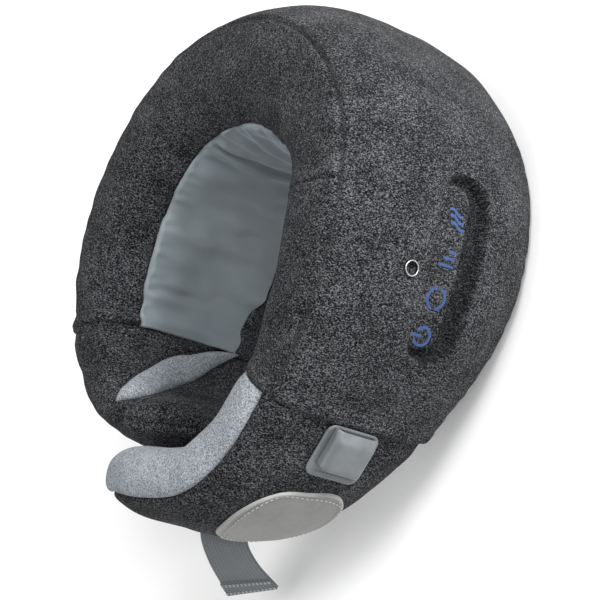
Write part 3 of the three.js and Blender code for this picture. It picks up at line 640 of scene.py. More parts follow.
def knit_sleeve():
    near, far = PANEL_STATION - HOLE_REACH, PANEL_STATION + HOLE_REACH
    s = knots((-HEM, 4), (-2.7, 34), (near - 0.19, 3), (near, 14), (far, 3), (far + 0.19, 5), HEM)
    edge = liner_edge(s)
    corner = np.full_like(s, SEAM_ANGLE + 5)
    low, high = angle_at(s, HOLE_LOW), angle_at(s, HOLE_HIGH)
    cells = (6, 8, 3, 8, 9)
    angle = equal_arc(s, [-edge, -corner, low, high, corner, edge], cells)
    station = np.repeat(s[:, None], angle.shape[1], 1)
    base = skin(station, angle)
    normal = grid_normals(base, core_line(station))
    across = arc_across(base)
    v_at = lambda wanted: line_at(across, angle, wanted)[:, None]
    x = arc_along(core_line(s))[:, None] + 0 * across
    lift = 0.7 * wobble(x, across, 11, 70) + 0.25 * wobble(x, across, 12, 24)
    lift += inner_swell(station, angle) - 0.9
    lift += 0.25 * smooth(-base[..., 2], -8, 0)

    # piped seams where the outer wall meets the top and the bottom
    for seed, side in ((21, 1), (22, -1)):
        d = across - v_at(np.full_like(s, side * SEAM_ANGLE))
        pucker = wobble(x, 0 * x, seed, 9)
        lift += -1.9 * bump(d, 0.95) + 0.75 * bump(np.abs(d) - 3.4, 2.4)
        lift += 0.28 * pucker * bump(d, 5.5)
    # a short dart on the top, right of the nape
    d = (station - 1.6) * 74 + 4 * smooth(angle, 70, 118)
    lift += smooth(angle, 66, 70) * (-1.15 * bump(d, 0.8) + 0.45 * bump(np.abs(d) - 3, 2.2))
    # gathers along the liner's seam
    for seed, side in ((31, 1), (32, -1)):
        d = np.abs(across - (across[:, -1:] if side > 0 else across[:, :1]))
        gather = wobble(x, 0 * x, seed, 10) + 0.6 * wobble(x, d, seed + 10, 16)
        lift += 0.45 * gather * bump(d - 3, 9) + 0.7 * bump(d - 2.4, 2.4)
        lift -= 1.4 * bump(d, 1.1)
    # the rolled hem
    d = (HEM - np.abs(station)) * HEM_STEP
    lift += 1.15 * bump(d - 3.4, 3.6) - 1.9 * round_over(d / 2.4)
    lift -= 0.45 * bump(d - HEM_STITCHES_IN, 0.9)
    # the recess of the key panel
    px, pz = (PANEL_STATION - station) * PANEL_STEP, base[..., 2]
    inside = -stadium(px, pz, RECESS)
    facing = np.abs(angle) < SEAM_ANGLE
    upper = smooth(pz, 62, 75)
    depth = RECESS["depth"] - 5.8 * upper
    width = 1.9 + 7.5 * upper
    near_panel = smooth(inside, -26, -14) * facing
    lift = lift * (1 - near_panel) - 0.35 * near_panel
    lift -= facing * depth * smooth(inside, -0.4, width)
    lift += facing * 0.6 * (1 - upper) * bump(inside + 1.4, 1.3)
    # a dimple round the charging inlet
    jack = np.hypot((JACK_STATION - station) * PANEL_STEP, pz - JACK_Z)
    lift += facing * (0.35 * bump(jack - 7, 2.2) - 0.5 * (1 - smooth(jack, 3.8, 5.6)))
    lift -= facing * 2.4 * (1 - smooth(jack, 2.9, 3.7))

    outer = base + normal * lift[..., None]
    outer[..., 2] = np.maximum(outer[..., 2], 0)
    inner = (base + normal * (lowest_near(lift)[..., None] - SLEEVE_WALL))[::FINE, ::FINE]
    inner[..., 2] = np.maximum(inner[..., 2], 0.4)

    cell_s, cell_v = s[::FINE], np.cumsum([0, *cells])
    kept = np.ones((len(cell_s) - 1, cell_v[-1]), bool)
    middle = (cell_s[1:] + cell_s[:-1]) / 2
    columns = np.flatnonzero(np.abs(middle - PANEL_STATION) < HOLE_REACH)
    kept[np.ix_(columns, range(cell_v[2], cell_v[3]))] = False
    # the hole's corners stay covered, because the island's ends are round
    kept[np.ix_(columns[[0, -1]], [cell_v[2], cell_v[3] - 1])] = True

    wall_u = arc_along(skin(s, 0.0))
    top_u = arc_along(skin(s, 100.0))
    share = smooth(np.abs(angle), SEAM_ANGLE - 0.8, SEAM_ANGLE + 0.8)
    u = wall_u[:, None] * (1 - share) + (top_u[:, None] + 300) * share
    points, faces = cloth_shell(outer, inner, kept)
    both = both_walls(u, across)
    # painted shade: the knit is coloured darker in the trough beside the keys, and darkest along its rim, where
    # the recess lies in shadow
    painted_trough_shade = 0.5 * smooth(inside, -0.5, 1.5) + 0.45 * bump(inside - 0.2, 0.9)
    wear_and_painted_shade = (facing * painted_trough_shade * (1 - smooth(pz, 55, 61))).ravel()
    wear_and_painted_shade = np.concatenate([wear_and_painted_shade, np.zeros(len(points) - len(wear_and_painted_shade))])
    points, faces, both, wear_and_painted_shade = drop_unused(points, faces, both, wear_and_painted_shade)
    piece = new_piece("knit_sleeve", points, faces, DARK_KNIT, both)
    piece.data.attributes.new(PAINTED_TROUGH_SHADE, "FLOAT", "POINT").data.foreach_set("value", wear_and_painted_shade.astype(np.float32))
    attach(piece, "cushion")
    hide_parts("sleeve_cover")
    return {"s": s, "angle": angle, "outer": outer, "normal": normal}


sleeve = knit_sleeve()


# ---------------------------------------------------------------- neck liner
LINER_WALL = 0.6


def neck_liner():
    s = knots((-0.997 * HEM, 52), 0.997 * HEM)
    start = liner_edge(s) - 1.5
    angle = equal_arc(s, [start, 360 - start], (18,))
    station = np.repeat(s[:, None], angle.shape[1], 1)
    base = skin(station, angle, 1.0)
    normal = grid_normals(base, core_line(station))
    across = arc_across(base)
    x = arc_along(skin(s, 180.0))[:, None] + 0 * across
    width = across[:, -1:]
    edge = np.minimum(across, width - across)
    lift = 1.1 * wobble(x, across * 0.22, 41, 17) + 0.55 * wobble(x, across * 0.3, 42, 8)
    lift += 1.5 * wobble(x, across * 0.35, 43, 34)
    lift *= 0.35 + 0.65 * bump(np.abs(edge - width * 0.22) * 0.6, width * 0.3)
    lift += 0.8 * wobble(x, 0 * x, 44, 7) * bump(edge - 4, 6) * smooth(edge, 0.5, 3)
    # one deep crease that runs slanting down from the top seam, and the lip beside it
    d = (station + 0.93 - 0.1 * smooth(angle, 145, 178)) * 58
    on = smooth(angle, 142, 150) * (1 - smooth(angle, 176, 196))
    lift += on * (-3.2 * bump(d + 0.8, 2.6) + 2.2 * bump(d - 5.5, 5.0) + 1.0 * bump(d + 8, 5))
    # and a shallower one near the left hem
    d = (station + 2.62) * 62
    on = smooth(angle, 150, 158) * (1 - smooth(angle, 172, 190))
    lift += on * (-1.8 * bump(d, 2.2) + 1.3 * bump(d - 5.0, 4.0) + 1.1 * bump(d + 5.0, 3.5))
    lift = np.clip(lift + 0.7, -1.2, 3.8) + inner_swell(station, angle)
    lift -= 1.0 * bump(edge, 1.2)
    outer = base + normal * lift[..., None]
    inner = (base + normal * (lowest_near(lift)[..., None] - LINER_WALL))[::FINE, ::FINE]
    points, faces = cloth_shell(outer, inner)
    both = both_walls(x, across)
    piece = new_piece("satin_liner", points, faces, SATIN, both)
    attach(piece, "cushion")
    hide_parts("neck_liner")


neck_liner()


# ---------------------------------------------------------------- arms
ARM_ROOT = 2.88
ARM_WALL = 1.3
CORE_IN = 4.6


def arm_stations(root, inset, straight, closing):
    """Stations from the root to the tip, closer together where the tip rounds off."""
    end = TIP - inset / STATION_LENGTH
    first = np.linspace(root, end - TIP_ROUNDING, straight * FINE, endpoint=False)
    turn = np.linspace(0, 0.985 * math.pi / 2, closing * FINE + 1)
    return np.append(first, end - TIP_ROUNDING * (1 - np.sin(turn) ** (2 / TIP_POWER)))


def arm_blend(piece):
    """Bakes the piece's placement into its points."""
    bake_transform(piece)


def close_tip(points, faces, uv, rows, columns, first, flip):
    """A pole that closes the last ring of a grid."""
    ring = [first + (rows - 1) * columns + j for j in range(columns)]
    pole = len(points)
    points = np.vstack([points, np.mean(points[ring], axis=0)])
    uv = np.vstack([uv, np.mean(uv[ring], axis=0)])
    for a, b in zip(ring, ring[1:] + ring[:1]):
        faces.append([a, pole, b] if flip else [a, b, pole])
    return points, faces, uv


def arm_cover(side, name, relief, columns):
    s = arm_stations(ARM_ROOT, ARM_STEP, 22 if side > 0 else 20, 7) * side
    angle = equal_arc(s, [np.full_like(s, -180.0), np.full_like(s, 180.0)], (columns,))[:, :-1]
    station = np.repeat(s[:, None], angle.shape[1], 1)
    base = skin(station, angle, ARM_STEP)
    normal = grid_normals(base, core_line(station), wrap=True)
    across = arc_across(base)
    x = arc_along(core_line(s))[:, None] + 0 * across
    lift = relief(s, station, angle, base, across, x)
    fade = smooth(np.abs(station), 4.97, 4.88)
    outer = base + normal * lift[..., None]
    shrunk = skin(station, angle, ARM_STEP + ARM_WALL)
    shrunk = shrunk + normal * (np.minimum(lowest_near(lift), 0) * fade)[..., None]
    inner = shrunk[::FINE, ::FINE]
    points, faces = cloth_shell(outer, inner, wrap=True)
    # the far end's rim is taken away, because the tip is closed by poles instead
    rows, count = outer.shape[:2]
    first = rows * count
    inner_rows, inner_count = inner.shape[:2]
    outer_last = set(range((rows - 1) * count, rows * count))
    inner_last = set(range(first + (inner_rows - 1) * inner_count, first + inner_rows * inner_count))
    both_last = outer_last | inner_last
    faces = [face for face in faces if not (set(face) <= both_last)]
    both = both_walls(x, across)
    points, faces, both = close_tip(points, faces, both, rows, count, 0, side > 0)
    points, faces, both = close_tip(points, faces, both, inner_rows, inner_count, first, side < 0)
    piece = new_piece(f"{name}_knit", points, faces, DARK_KNIT, both)
    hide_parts(f"{name}_cover")
    arm_blend(piece)


def arm_core(side, name):
    s = arm_stations(3.03, CORE_IN, 3, 2) * side
    angle = np.linspace(-180, 180, 48, endpoint=False)
    grid = skin(s[:, None], angle[None, :], CORE_IN)
    rows, count = grid.shape[:2]
    index = np.arange(rows * count).reshape(rows, count)
    after = np.roll(index, -1, axis=1)
    faces = np.stack([index[:-1], index[1:], after[1:], after[:-1]], -1).reshape(-1, 4).tolist()
    points = grid.reshape(-1, 3)
    uv = np.zeros((len(points), 2))
    points, faces, uv = close_tip(points, faces, uv, rows, count, 0, False)
    root = len(points)
    points = np.vstack([points, grid[0].mean(0)])
    faces += [[int(b), int(a), root] for a, b in zip(index[0], after[0])]
    piece = new_piece(f"{name}_core", points, faces, FOAM)
    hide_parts(f"{name}_foam")
    arm_blend(piece)


# Edges of the light strips as station and angle pairs.
RIGHT_STRIP_OUTER = [(3.0, 73), (3.4, 69), (3.9, 66), (4.4, 65), (4.72, 62), (4.93, 40)]
RIGHT_STRIP_INNER = [(3.0, 118), (3.4, 132), (3.9, 148), (4.4, 158), (4.75, 170), (4.93, 185)]
LEFT_STRIP_REAR = [
    (-2.95, 222), (-3.0, 200), (-3.13, 186), (-3.33, 175), (-3.64, 158), (-3.91, 133), (-4.03, 113), (-4.09, 96)]
LEFT_STRIP_FRONT = [
    (-2.97, 225), (-3.0, 214), (-3.25, 200), (-3.59, 187), (-4.0, 172), (-4.3, 148), (-4.3, 118), (-4.12, 94)]
LEFT_ARM_SEAM = [(-3.95, 100), (-4.2, 84), (-4.6, 78), (-4.95, 76)]


def curve_through(pairs, count):
    """A smooth curve of count points through the pairs."""
    pairs = np.array(pairs, float)
    rows = np.vstack([2 * pairs[0] - pairs[1], pairs, 2 * pairs[-1] - pairs[-2]])
    place = np.linspace(0, len(pairs) - 1 - 1e-9, count)
    i = place.astype(int)
    f = (place - i)[:, None]
    a, b, c, d = rows[i], rows[i + 1], rows[i + 2], rows[i + 3]
    square = 2 * a - 5 * b + 4 * c - d
    cube = 3 * b - a - 3 * c + d
    return 0.5 * (2 * b + (c - a) * f + square * f ** 2 + cube * f ** 3)


def gap_to(line, base):
    """Distance in millimetres from grid points to a curve on the arm's skin."""
    curve = skin(line[:, 0], line[:, 1], ARM_STEP)
    flat = base.reshape(-1, 3)
    nearest = np.full(len(flat), 1e9)
    for point in curve:
        nearest = np.minimum(nearest, ((flat - point) ** 2).sum(1))
    return np.sqrt(nearest).reshape(base.shape[:2])


def right_relief(s, station, angle, base, across, x):
    lift = 0.55 * wobble(x, across, 51, 46) + 0.2 * wobble(x, across, 52, 18)
    hem = (np.abs(station) - HEM) * 78
    lift += 0.35 * wobble(across, 0 * x, 53, 11) * bump(hem - 6, 8) - 0.5 * bump(hem, 5)
    lift = lift * smooth(hem, -4, 8) - 0.35 * (1 - smooth(hem, -2, 4))
    for line in (RIGHT_STRIP_OUTER, RIGHT_STRIP_INNER):
        d = gap_to(curve_through(line, 160), base)
        lift *= 1 - 0.8 * bump(d, 8)
        lift += -1.3 * bump(d, 1.4) + 0.3 * bump(d - 4.5, 2.6)
        lift += 0.2 * wobble(x, 0 * x, 54, 9) * bump(d, 6)
    outer, inner = np.array(RIGHT_STRIP_OUTER), np.array(RIGHT_STRIP_INNER)
    turned = np.where(angle < -90, angle + 360, angle)
    under = (turned > np.interp(station, *outer.T) + 3) & (turned < np.interp(station, *inner.T) - 3)
    lift = np.where(under & (station < 4.92), np.minimum(lift, -1.0), lift)
    seam = np.abs(across - line_at(across, angle, np.full_like(s, -SEAM_ANGLE))[:, None])
    lift += -0.9 * bump(seam, 1.0) + 0.3 * bump(seam - 3, 2.2)
    return lift * smooth(np.abs(station), 5.0, 4.9)


def left_relief(s, station, angle, base, across, x):
    lift = 0.7 * wobble(x, across, 61, 40) + 0.25 * wobble(x, across, 62, 16)
    hem = (np.abs(station) - HEM) * 70
    lift += 0.4 * wobble(across, 0 * x, 63, 11) * bump(hem - 6, 8) - 0.6 * bump(hem, 5)
    lift = lift * smooth(hem, -4, 8) - 0.35 * (1 - smooth(hem, -2, 4))
    for line in (LEFT_STRIP_REAR, LEFT_STRIP_FRONT):
        d = gap_to(curve_through(line, 120), base)
        lift += -1.3 * bump(d, 1.3) + 0.5 * bump(d - 4.5, 2.8)
    rear, front = np.array(LEFT_STRIP_REAR)[::-1], np.array(LEFT_STRIP_FRONT)[::-1]
    turned = np.where(angle < -90, angle + 360, angle)
    under = (station < np.interp(turned, rear[:, 1], rear[:, 0]) - 0.04)
    under &= (station > np.interp(turned, front[:, 1], front[:, 0]) + 0.04) & (turned > 97) & (turned < 224)
    lift = np.where(under, np.minimum(lift, -1.0), lift)
    seam = gap_to(curve_through(LEFT_ARM_SEAM, 120), base)
    lift += -1.1 * bump(seam, 1.1) + 0.4 * bump(seam - 3, 2.4)
    return lift * smooth(np.abs(station), 5.0, 4.88)


arm_cover(1, "right_arm", right_relief, 27)
arm_cover(-1, "left_arm", left_relief, 24)
arm_core(1, "right_arm")
arm_core(-1, "left_arm")


def comfort_strip(name, first, second, rows, columns, crown):
    """A light panel sewn between two edges, with rounded borders that dip into the seam."""
    a, b = curve_through(first, rows * FINE + 1), curve_through(second, rows * FINE + 1)
    v = np.linspace(0, 1, columns * FINE + 1)
    u = np.linspace(0, 1, rows * FINE + 1)
    station = a[:, :1] + (b[:, :1] - a[:, :1]) * v
    angle = a[:, 1:] + (b[:, 1:] - a[:, 1:]) * v
    base = skin(station, angle, ARM_STEP)
    normal = grid_normals(base, core_line(station))
    across = arc_across(base)
    x = arc_along(base[:, len(v) // 2])[:, None] + 0 * across
    width = across[:, -1:]
    length = x[-1, 0]
    edge = np.minimum(np.minimum(across, width - across), np.minimum(x, length - x) + 0.8)
    puff = crown * np.clip(1 - ((across / np.maximum(width, 1) - 0.5) * 2) ** 2, 0, 1)
    puff = puff * smooth(width, 3, 16)
    lift = 1.2 - 2.2 * round_over(edge / 3.0) + puff
    lift += 0.16 * wobble(x, across, 71, 10) * bump(edge - 3, 4) + 0.25 * wobble(x, across, 72, 30)
    lift *= np.where(lift > 0, smooth(u, 0, 0.04)[:, None] * smooth(u, 1, 0.96)[:, None] * 0.6 + 0.4, 1)
    outer = base + normal * lift[..., None]
    inner = (base + normal * np.minimum(lift - 1.0, -1.15)[..., None])[::FINE, ::FINE]
    points, faces = cloth_shell(outer, inner)
    both = both_walls(x, across)
    piece = new_piece(f"{name}_light_panel", points, faces, LIGHT_KNIT, both)
    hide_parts(f"{name.replace('_arm', '')}_comfort_strip")
    arm_blend(piece)


comfort_strip("right_arm", RIGHT_STRIP_OUTER, RIGHT_STRIP_INNER, 22, 9, 1.2)
comfort_strip("left_arm", LEFT_STRIP_REAR, LEFT_STRIP_FRONT, 12, 7, 2.2)


# ---------------------------------------------------------------- key panel
GAP_ROUND_KEY = 0.14
ISLAND_LOW = -9.2
KEY_LOW = -10.3
SYMBOL_LOW = -1.6
SYMBOL_STROKE = 1.45


def rounded_outline(box, grow=0.0, at=0.0, count=96):
    """Points round a stadium outline in panel coordinates."""
    radius = box["height"] / 2 + grow
    reach = max(box["length"] / 2 + grow - radius, 0)
    turn = np.linspace(0, 2 * math.pi, count, endpoint=False)
    squash = min((box["length"] / 2 + grow) / radius, 1)
    x = at + np.sign(np.cos(turn)) * reach + radius * squash * np.cos(turn)
    return np.stack([x, box["z"] + radius * np.sin(turn)], -1)


def key_box(index):
    return {**KEY, "z": ISLAND["z"], "at": KEY["first"] + index * KEY["pitch"]}


def key_ring(x, z, box, margin):
    """1 on an oval that is margin larger than a key, and less inside it."""
    return np.hypot((x - box["at"]) / (KEY["length"] / 2 + margin), (z - box["z"]) / (KEY["height"] / 2 + margin))


def island_height(x, z):
    """Height of the island's cloth: it rounds over at its border."""
    inside = np.clip(-stadium(x, z, ISLAND), 0, None)
    fall = round_over(inside / 2.6)
    return ISLAND["top"] + 0.25 * (1 - fall) - 2.4 * fall * (1 - 0.85 * smooth(z, 67, 73))


def island_cloth():
    """The island with four openings for the keys, closed underneath."""
    outline = rounded_outline(ISLAND, count=220)
    rings = [outline]
    for shrink in (0.3, 0.8, 1.5, 2.6):
        rings.append(rounded_outline(ISLAND, -shrink, count=220))
    holes = [rounded_outline(key_box(i), GAP_ROUND_KEY, key_box(i)["at"], 64) for i in range(4)]
    step = 1.3
    gx, gz = np.meshgrid(np.arange(-42, 42, step), np.arange(ISLAND["z"] - 10, ISLAND["z"] + 10, step))
    loose = np.stack([gx.ravel(), gz.ravel()], -1)
    keep = stadium(loose[:, 0], loose[:, 1], ISLAND) < -3.4
    for i in range(4):
        box = key_box(i)
        keep &= key_ring(loose[:, 0], loose[:, 1], box, 0.7) > 1
    flat, edges = [], []
    for ring in [*rings, *holes]:
        first = len(flat)
        flat += [tuple(p) for p in ring]
        edges += [(first + k, first + (k + 1) % len(ring)) for k in range(len(ring))]
    flat += [tuple(p) for p in loose[keep]]
    found, _, triangles, *_ = delaunay_2d_cdt([Vector(p) for p in flat], edges, [], 1, 1e-5)
    found = np.array([tuple(p) for p in found])
    kept = []
    for triangle in triangles:
        x, z = found[list(triangle)].mean(0)
        if all(key_ring(x, z, key_box(i), GAP_ROUND_KEY) >= 0.999 for i in range(4)):
            kept.append(list(triangle))
    return thick_plate("control_island", found, kept, island_height, ISLAND_LOW, DARK_KNIT)


def thick_plate(name, flat, triangles, height, low, material):
    """A plate over flat triangles: its top follows height, its underside lies at low."""
    x, z = flat.T
    points = np.concatenate([panel_wall(x, z, height(x, z)), panel_wall(x, z, np.full(len(flat), low))])
    uv = np.tile(np.stack([-x, z], -1), (2, 1))
    return new_piece(name, points, plate_faces(triangles, len(flat)), material, uv)


def key_cap(index, name):
    box = key_box(index)
    around = 64
    points, faces = [(box["at"], box["z"])], []
    outline = rounded_outline(box, 0.0, box["at"], around)
    centre = np.array([box["at"], box["z"]])
    shares = [0.2, 0.4, 0.6, 0.78, 0.9, 0.97, 1.0]
    for share in shares:
        points += [tuple(p) for p in centre + (outline - centre) * share]
    for k in range(around):
        faces.append([0, 1 + k, 1 + (k + 1) % around])
    for r in range(len(shares) - 1):
        for k in range(around):
            a, b = 1 + r * around + k, 1 + r * around + (k + 1) % around
            faces += [[a, a + around, b + around], [a, b + around, b]]
    flat = np.array(points)

    def height(x, z):
        away = np.linalg.norm(np.stack([x, z], -1) - centre, axis=1) / (KEY["length"] / 2)
        return island_height(x, z) - 0.28 * smooth(away, 0.9, 1.0) + 0.12 * (1 - away ** 2)

    piece = thick_plate(name.replace("_key", "_key_cap"), flat, faces, height, KEY_LOW, DARK_KNIT)
    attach(piece, name.replace("_key", "_button"))
    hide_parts(name)
    return box


def stroke(line, width):
    """Flat triangles for a line of points drawn width wide, with round ends."""
    line = np.array(line, float)
    steps = np.gradient(line, axis=0)
    steps /= np.linalg.norm(steps, axis=1, keepdims=True)
    side = np.stack([-steps[:, 1], steps[:, 0]], -1) * width / 2
    points = [*(line + side), *(line - side)]
    count = len(line)
    faces = []
    for k in range(count - 1):
        faces += [[k, k + count, k + 1], [k + 1, k + count, k + 1 + count]]
    for end, sign in ((0, -1), (count - 1, 1)):
        first = len(points)
        turns = np.linspace(-math.pi / 2, math.pi / 2, 9)[1:-1]
        heading = math.atan2(steps[end][1] * sign, steps[end][0] * sign)
        rim = np.stack([np.cos(heading + turns), np.sin(heading + turns)], -1)
        points += [*(line[end] + width / 2 * rim)]
        left, right = (end, end + count) if sign > 0 else (end + count, end)
        fan = [right, *range(first, first + len(turns)), left]
        faces += [[fan[0], fan[k], fan[k + 1]] for k in range(1, len(fan) - 1)]
    return np.array(points), faces


def arc_line(radius, first, last, count=22):
    turn = np.radians(np.linspace(first, last, count))
    return np.stack([radius * np.cos(turn), radius * np.sin(turn)], -1)


# Symbols as lines round their key's middle: x runs to the rear and the second number is up.
def power_symbol():
    return [arc_line(4.7, 128, 412) + (-1.6, 0), [(-1.6, y) for y in np.linspace(0.9, 6.3, 8)]]


def rotation_symbol():
    return [arc_line(5.3, 18, 160, 26) + (-1.6, 0), arc_line(5.3, 198, 340, 26) + (-1.6, 0)]


def intensity_symbol():
    bars = ((-4.5, 4.0), (-0.8, 1.8), (2.9, -0.8))
    return [[(x, y) for y in np.linspace(-4.2, high, 8)] for x, high in bars]


def heat_symbol():
    y = np.linspace(-4.0, 4.0, 26)
    return [[(x + 0.3 * v + 0.75 * math.sin(v * math.pi / 4), v + lean - 2) for v in y]
            for x, lean in ((-3.4, -0.8), (0, 0), (3.4, 0.8))]


def draw_symbol(name, body, box, lines):
    points, faces = np.zeros((0, 2)), []
    for line in lines:
        more, added = stroke(line, SYMBOL_STROKE)
        faces += [[v + len(points) for v in face] for face in added]
        points = np.concatenate([points, more])
    away = np.linalg.norm(points, axis=1) / (KEY["length"] / 2)
    x, z = (points + np.array([box["at"], box["z"]])).T
    top = panel_wall(x, z, island_height(x, z) + 0.12 * (1 - away ** 2) + 0.13)
    under = panel_wall(x, z, np.full(len(x), SYMBOL_LOW))
    piece = new_piece(name, np.concatenate([top, under]), plate_faces(faces, len(x)), BLUE, smooth_faces=False)
    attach(piece, body)


island = island_cloth()
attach(island, "cushion")
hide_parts("control_tray")
SYMBOLS = {
    "power": power_symbol, "rotation": rotation_symbol, "intensity": intensity_symbol, "heat": heat_symbol}
for index, (key, symbol) in enumerate(SYMBOLS.items()):
    place = key_cap(index, f"{key}_key")
    draw_symbol(f"{key}_symbol", f"{key}_button", place, symbol())


# ---------------------------------------------------------------- stitches by geometry nodes
def tree(name, *inputs):
    """A geometry node group with a geometry input and output and these named inputs."""
    group = bpy.data.node_groups.new(name, "GeometryNodeTree")
    group.interface.new_socket("Geometry", in_out="INPUT", socket_type="NodeSocketGeometry")
    for label, kind in inputs:
        group.interface.new_socket(label, in_out="INPUT", socket_type=kind)
    group.interface.new_socket("Geometry", in_out="OUTPUT", socket_type="NodeSocketGeometry")
    return group, group.nodes.new("NodeGroupInput").outputs, group.nodes.new("NodeGroupOutput").inputs


def stitch_tree():
    """Puts one thread stitch every Pitch along each line, each a small pillow Length by Width."""
    group, given, result = tree(
        "stitches_along_line", ("Pitch", "NodeSocketFloat"), ("Length", "NodeSocketFloat"),
        ("Width", "NodeSocketFloat"), ("Thread", "NodeSocketMaterial"))
    add, link = group.nodes.new, group.links.new
    line = add("GeometryNodeMeshToCurve")
    link(given["Geometry"], line.inputs["Mesh"])
    spaced = add("GeometryNodeResampleCurve")
    spaced.mode = "LENGTH"
    link(line.outputs[0], spaced.inputs["Curve"])
    link(given["Pitch"], spaced.inputs["Length"])
    pillow = add("GeometryNodeMeshUVSphere")
    pillow.inputs["Segments"].default_value = 8
    pillow.inputs["Rings"].default_value = 5
    pillow.inputs["Radius"].default_value = 0.5
    size = add("ShaderNodeCombineXYZ")
    for socket, label in zip(size.inputs, ("Length", "Width", "Width")):
        link(given[label], socket)
    tangent = add("GeometryNodeInputTangent")
    aim = add("FunctionNodeAlignRotationToVector")
    aim.axis = "X"
    link(tangent.outputs[0], aim.inputs["Vector"])
    place = add("GeometryNodeInstanceOnPoints")
    link(spaced.outputs[0], place.inputs["Points"])
    link(pillow.outputs["Mesh"], place.inputs["Instance"])
    link(aim.outputs[0], place.inputs["Rotation"])
    link(size.outputs[0], place.inputs["Scale"])
    real = add("GeometryNodeRealizeInstances")
    link(place.outputs[0], real.inputs[0])
    finish = add("GeometryNodeSetMaterial")
    link(real.outputs[0], finish.inputs["Geometry"])
    link(given["Thread"], finish.inputs["Material"])
    link(finish.outputs[0], result["Geometry"])
    return group


def hook_tree():
    """Stands one tapered hook stem on each vertex, turned to its normal, with a seeded lean."""
    group, given, result = tree("hooks_on_tape", ("Height", "NodeSocketFloat"), ("Seed", "NodeSocketInt"),
                                ("Nylon", "NodeSocketMaterial"))
    add, link = group.nodes.new, group.links.new
    stem = add("GeometryNodeMeshCone")
    stem.inputs["Vertices"].default_value = 5
    stem.inputs["Radius Top"].default_value = 0.12
    stem.inputs["Radius Bottom"].default_value = 0.28
    stem.inputs["Depth"].default_value = 1.0
    normal = add("GeometryNodeInputNormal")
    aim = add("FunctionNodeAlignRotationToVector")
    aim.axis = "Z"
    link(normal.outputs[0], aim.inputs["Vector"])
    lean = add("FunctionNodeRandomValue")
    lean.data_type = "FLOAT_VECTOR"
    lean.inputs["Min"].default_value = (-0.35, -0.35, 0)
    lean.inputs["Max"].default_value = (0.35, 0.35, 3)
    link(given["Seed"], lean.inputs["Seed"])
    turned = add("FunctionNodeRotateRotation")
    turned.rotation_space = "LOCAL"
    link(aim.outputs[0], turned.inputs["Rotation"])
    to_turn = add("FunctionNodeEulerToRotation")
    link(lean.outputs[0], to_turn.inputs[0])
    link(to_turn.outputs[0], turned.inputs["Rotate By"])
    place = add("GeometryNodeInstanceOnPoints")
    link(given["Geometry"], place.inputs["Points"])
    link(stem.outputs["Mesh"], place.inputs["Instance"])
    link(turned.outputs[0], place.inputs["Rotation"])
    link(given["Height"], place.inputs["Scale"])
    real = add("GeometryNodeRealizeInstances")
    link(place.outputs[0], real.inputs[0])
    finish = add("GeometryNodeSetMaterial")
    link(real.outputs[0], finish.inputs["Geometry"])
    link(given["Nylon"], finish.inputs["Material"])
    link(finish.outputs[0], result["Geometry"])
    return group


STITCHES = stitch_tree()
HOOKS = hook_tree()


def grown_from(name, points, edges, faces, group, values):
    """Runs a node group on a small guide mesh and keeps the result as a plain mesh."""
    guide = bpy.data.meshes.new(name + "_guide")
    guide.from_pydata(np.asarray(points, float) * MM, edges, faces)
    holder = bpy.data.objects.new(name + "_guide", guide)
    bpy.context.scene.collection.objects.link(holder)
    modifier = holder.modifiers.new("grow", "NODES")
    modifier.node_group = group
    for item in group.interface.items_tree:
        if item.item_type == "SOCKET" and item.in_out == "INPUT" and item.name in values:
            modifier[item.identifier] = values[item.name]
    graph = bpy.context.evaluated_depsgraph_get()
    mesh = bpy.data.meshes.new_from_object(holder.evaluated_get(graph))
    bpy.data.objects.remove(holder)
    mesh.name = name
    mesh.polygons.foreach_set("use_smooth", np.full(len(mesh.polygons), True))
    piece = bpy.data.objects.new(name, mesh)
    bpy.context.scene.collection.objects.link(piece)
    return piece


def stitch_row(name, line, pitch, length, width, material, closed=False):
    """Stitches along a line of points in millimetres."""
    count = len(line)
    edges = [(k, k + 1) for k in range(count - 1)] + ([(count - 1, 0)] if closed else [])
    values = {"Pitch": pitch * MM, "Length": length * MM, "Width": width * MM, "Thread": material}
    return grown_from(name, line, edges, [], STITCHES, values)


def hem_stitches():
    """One row of dark stitches on the sleeve round each hem."""
    for side, name in ((1, "right_hem_stitches"), (-1, "left_hem_stitches")):
        row = np.argmin(np.abs(sleeve["s"] - side * (HEM - HEM_STITCHES_IN / HEM_STEP)))
        line = sleeve["outer"][row] + sleeve["normal"][row] * 0.05
        piece = stitch_row(name, line[::2], 3.4, 2.5, 0.62, DARK_THREAD)
        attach(piece, "cushion")


hem_stitches()


# ---------------------------------------------------------------- label patch
LABEL_RIM = 2.0
LABEL_WALL = 1.5


def label_place(u, v):
    """Station and angle on the label: u runs along the arm, v from its upper edge down."""
    upper = 10 + 40 * u - 56 * u * u
    lower = -38 - 17 * np.minimum(2 * u, 1)
    return 3.5 + 0.8 * u, upper + (lower - upper) * v


def rounded_square(a, b):
    """Maps a square from -1 to 1 onto one with rounded corners, rounder at its rear end."""
    roundness = 0.32 + 0.26 * (1 - a)
    return a * np.sqrt(1 - b * b * roundness / 2), b * np.sqrt(1 - a * a * roundness / 2)


